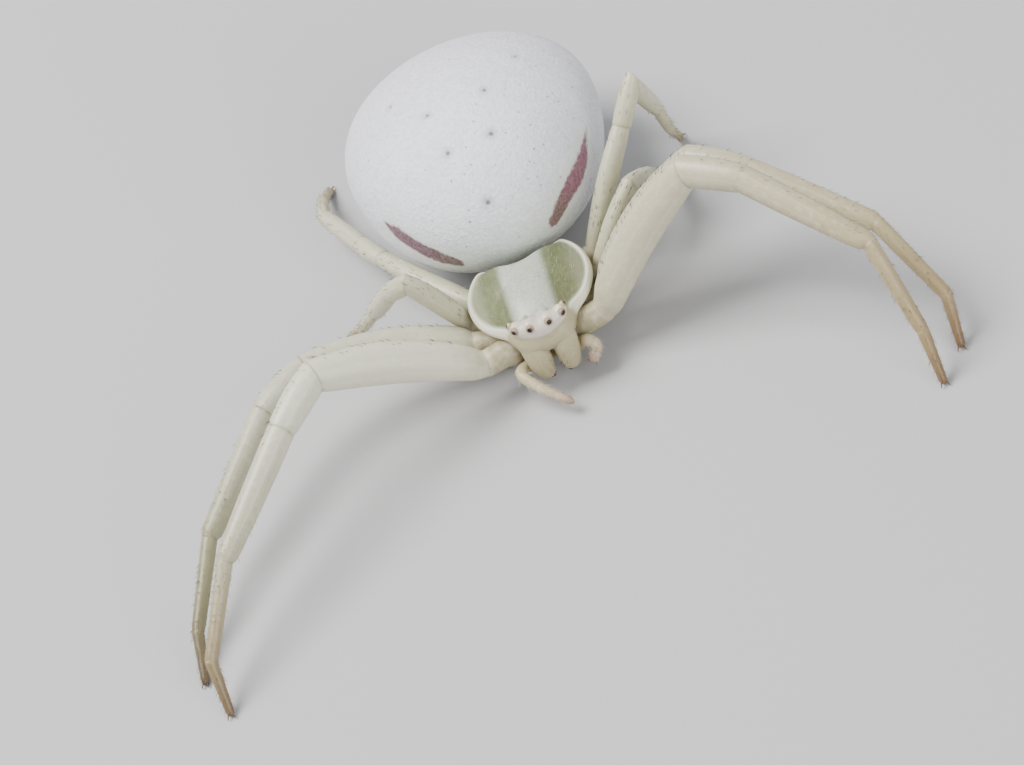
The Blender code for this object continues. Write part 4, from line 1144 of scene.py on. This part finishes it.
def make_hairs(leg_skins, palp_skins, jaw_skins, shield_skin, abdomen_skin):
    """Short black bristles along the upper edges of the legs and on the inner faces of the
    jaws, fine pale hairs on the thighs, the palps, the jaws, the shield and the belly, and
    tan ones on the outer pieces of the legs."""
    rng = np.random.default_rng(11)
    dark, place = new_material("dark bristle", Roughness=0.4)
    finish_material(dark, Base_Color=place.noise(0.3).mix((0.03, 0.022, 0.016), (0.07, 0.05, 0.035)))
    pale, place = new_material("pale hair", Roughness=0.4)
    finish_material(pale, Base_Color=place.noise(0.3).mix((0.55, 0.48, 0.36), (0.72, 0.68, 0.56)))
    tan, place = new_material("tan hair", Roughness=0.45)
    finish_material(tan, Base_Color=place.noise(0.3).mix((0.16, 0.105, 0.055), (0.32, 0.24, 0.14)))
    above = np.pi / 2
    bristles = ((2.10, 2.95, (above, above - 0.6, above + 0.6), 40, 0.13, 0.0095),
                (3.05, 4.9, (above, above + 0.5, above - 0.5), 20, 0.11, 0.0085),
                (5.0, 6.9, (above, 0.4, 2.7), 18, 0.10, 0.0070))
    fine = ((2.05, 4.95, (0.0, 0.3, 1.0, 2.1, 2.8, 3.2, 4.0, 5.0), 150, 0.09, 0.0055),)
    outer = ((4.6, 6.92, (0.0, 0.8, 1.6, 2.4, 3.2, 4.2, 5.2), 320, 0.12, 0.0055),)
    for (side, number), (rings, reach) in leg_skins.items():
        share = 1.0 if number < 3 else 0.5
        name = f"leg_{side}_{number}"
        grow_hairs(f"{name}_bristles", rings, reach, bristles, share, rng, dark)
        grow_hairs(f"{name}_hairs", rings, reach, fine, share, rng, pale)
        grow_hairs(f"{name}_outer_hairs", rings, reach, outer, share, rng, tan)
    round_about = tuple(np.linspace(0.0, 5.4, 7))
    tufts = ((0.8, 5.0, round_about, 46, 0.16, 0.0070), (5.0, 6.8, round_about, 40, 0.10, 0.0060))
    ends = ((4.2, 6.8, round_about, 16, 0.09, 0.0065),)
    for side, (rings, reach) in palp_skins.items():
        grow_hairs(f"palp_{side}_hairs", rings, reach, tufts, 1.0, rng, pale)
        grow_hairs(f"palp_{side}_bristles", rings, reach, ends, 1.0, rng, dark)
    for side, (rings, reach) in jaw_skins.items():
        inner = np.pi - 0.7 if side == "left" else 0.7
        few = ((2.6, 6.2, (inner, inner + 0.4, inner - 0.4), 14, 0.10, 0.0060),)
        down = ((2.2, 6.2, (0.5, 1.1, 1.6, 2.1, 2.7), 34, 0.08, 0.0045),)
        grow_hairs(f"jaw_{side}_bristles", rings, reach, few, 1.0, rng, dark, "jaw")
        grow_hairs(f"jaw_{side}_hairs", rings, reach, down, 1.0, rng, pale, "jaw")
    sides = tuple(np.linspace(0.9, 2.4, 7)) + tuple(np.linspace(3.9, 5.4, 7))
    cover = ((1.7, 5.6, sides, 90, 0.11, 0.0050),)
    grow_hairs("shield_hairs", *shield_skin, cover, 1.0, rng, pale, "shield")
    all_round = tuple(np.linspace(0.0, 6.1, 40))
    sparse = ((0.5, 6.5, all_round, 520, 0.075, 0.0040),)
    grow_hairs("abdomen_hairs", *abdomen_skin, sparse, 1.0, rng, pale, "abdomen")


# Carried-over solids, floor and light

def make_floor():
    """A plain pale floor."""
    material, place = new_material("floor", Roughness=0.7)
    tone = place.noise(30.0).mix((0.44, 0.44, 0.45), (0.46, 0.46, 0.47))
    finish_material(material, Base_Color=tone)
    half = 400.0
    points = [(-half, -half, -0.002), (half, -half, -0.002), (half, half, -0.002), (-half, half, -0.002)]
    mesh = bpy.data.meshes.new("floor")
    mesh.from_pydata((np.array(points) * MM).tolist(), [], [[0, 1, 2, 3]])
    mesh.materials.append(material)
    floor = bpy.data.objects.new("floor", mesh)
    bpy.context.scene.collection.objects.link(floor)


def make_lights():
    """A large soft light above and behind, a weaker one in front, and an even grey sky."""
    world = bpy.data.worlds.new("sky")
    world.use_nodes = True
    world.node_tree.nodes["Background"].inputs["Color"].default_value = (0.93, 0.96, 1.0, 1.0)
    world.node_tree.nodes["Background"].inputs["Strength"].default_value = 0.62
    bpy.context.scene.world = world
    plans = (
        ("key", (-60.0, 20.0, 120.0), 80.0, 0.36, (1.0, 0.98, 0.95)),
        ("fill", (60.0, -110.0, 60.0), 80.0, 0.14, (1.0, 0.98, 0.95)),
    )
    for name, place, size, power, colour in plans:
        lamp = bpy.data.lights.new(name, "AREA")
        lamp.size = size * MM
        lamp.energy = power
        lamp.color = colour
        light = bpy.data.objects.new(name, lamp)
        bpy.context.scene.collection.objects.link(light)
        back = unit(np.array(place) - (0.0, -2.0, 1.0))
        side = unit(np.cross(UP, back))
        above = np.cross(back, side)
        spot = np.array(place) * MM
        light.matrix_world = Matrix([[side[k], above[k], back[k], spot[k]] for k in range(3)]
                                    + [[0, 0, 0, 1]])


def main():
    make_camera()
    abdomen_skin = make_abdomen()
    shield_skin = make_shield()
    make_eyes()
    jaw_skin = jaw_material()
    jaw_skins = make_jaws(jaw_skin)
    skins = {name: limb_material(f"{name} skin", tones) for name, tones in LIMB_TONES.items()}
    palp_skins = make_palps(skins["palp"])
    leg_skins = make_legs(skins)
    make_underside(skins["underside"])
    make_waist(skins["underside"])
    make_spinning_cones(skins["underside"])
    make_hairs(leg_skins, palp_skins, jaw_skins, shield_skin, abdomen_skin)
    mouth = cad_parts["mouthparts"]
    mouth.data.materials.clear()
    mouth.data.materials.append(jaw_skin)
    make_floor()
    make_lights()


main()
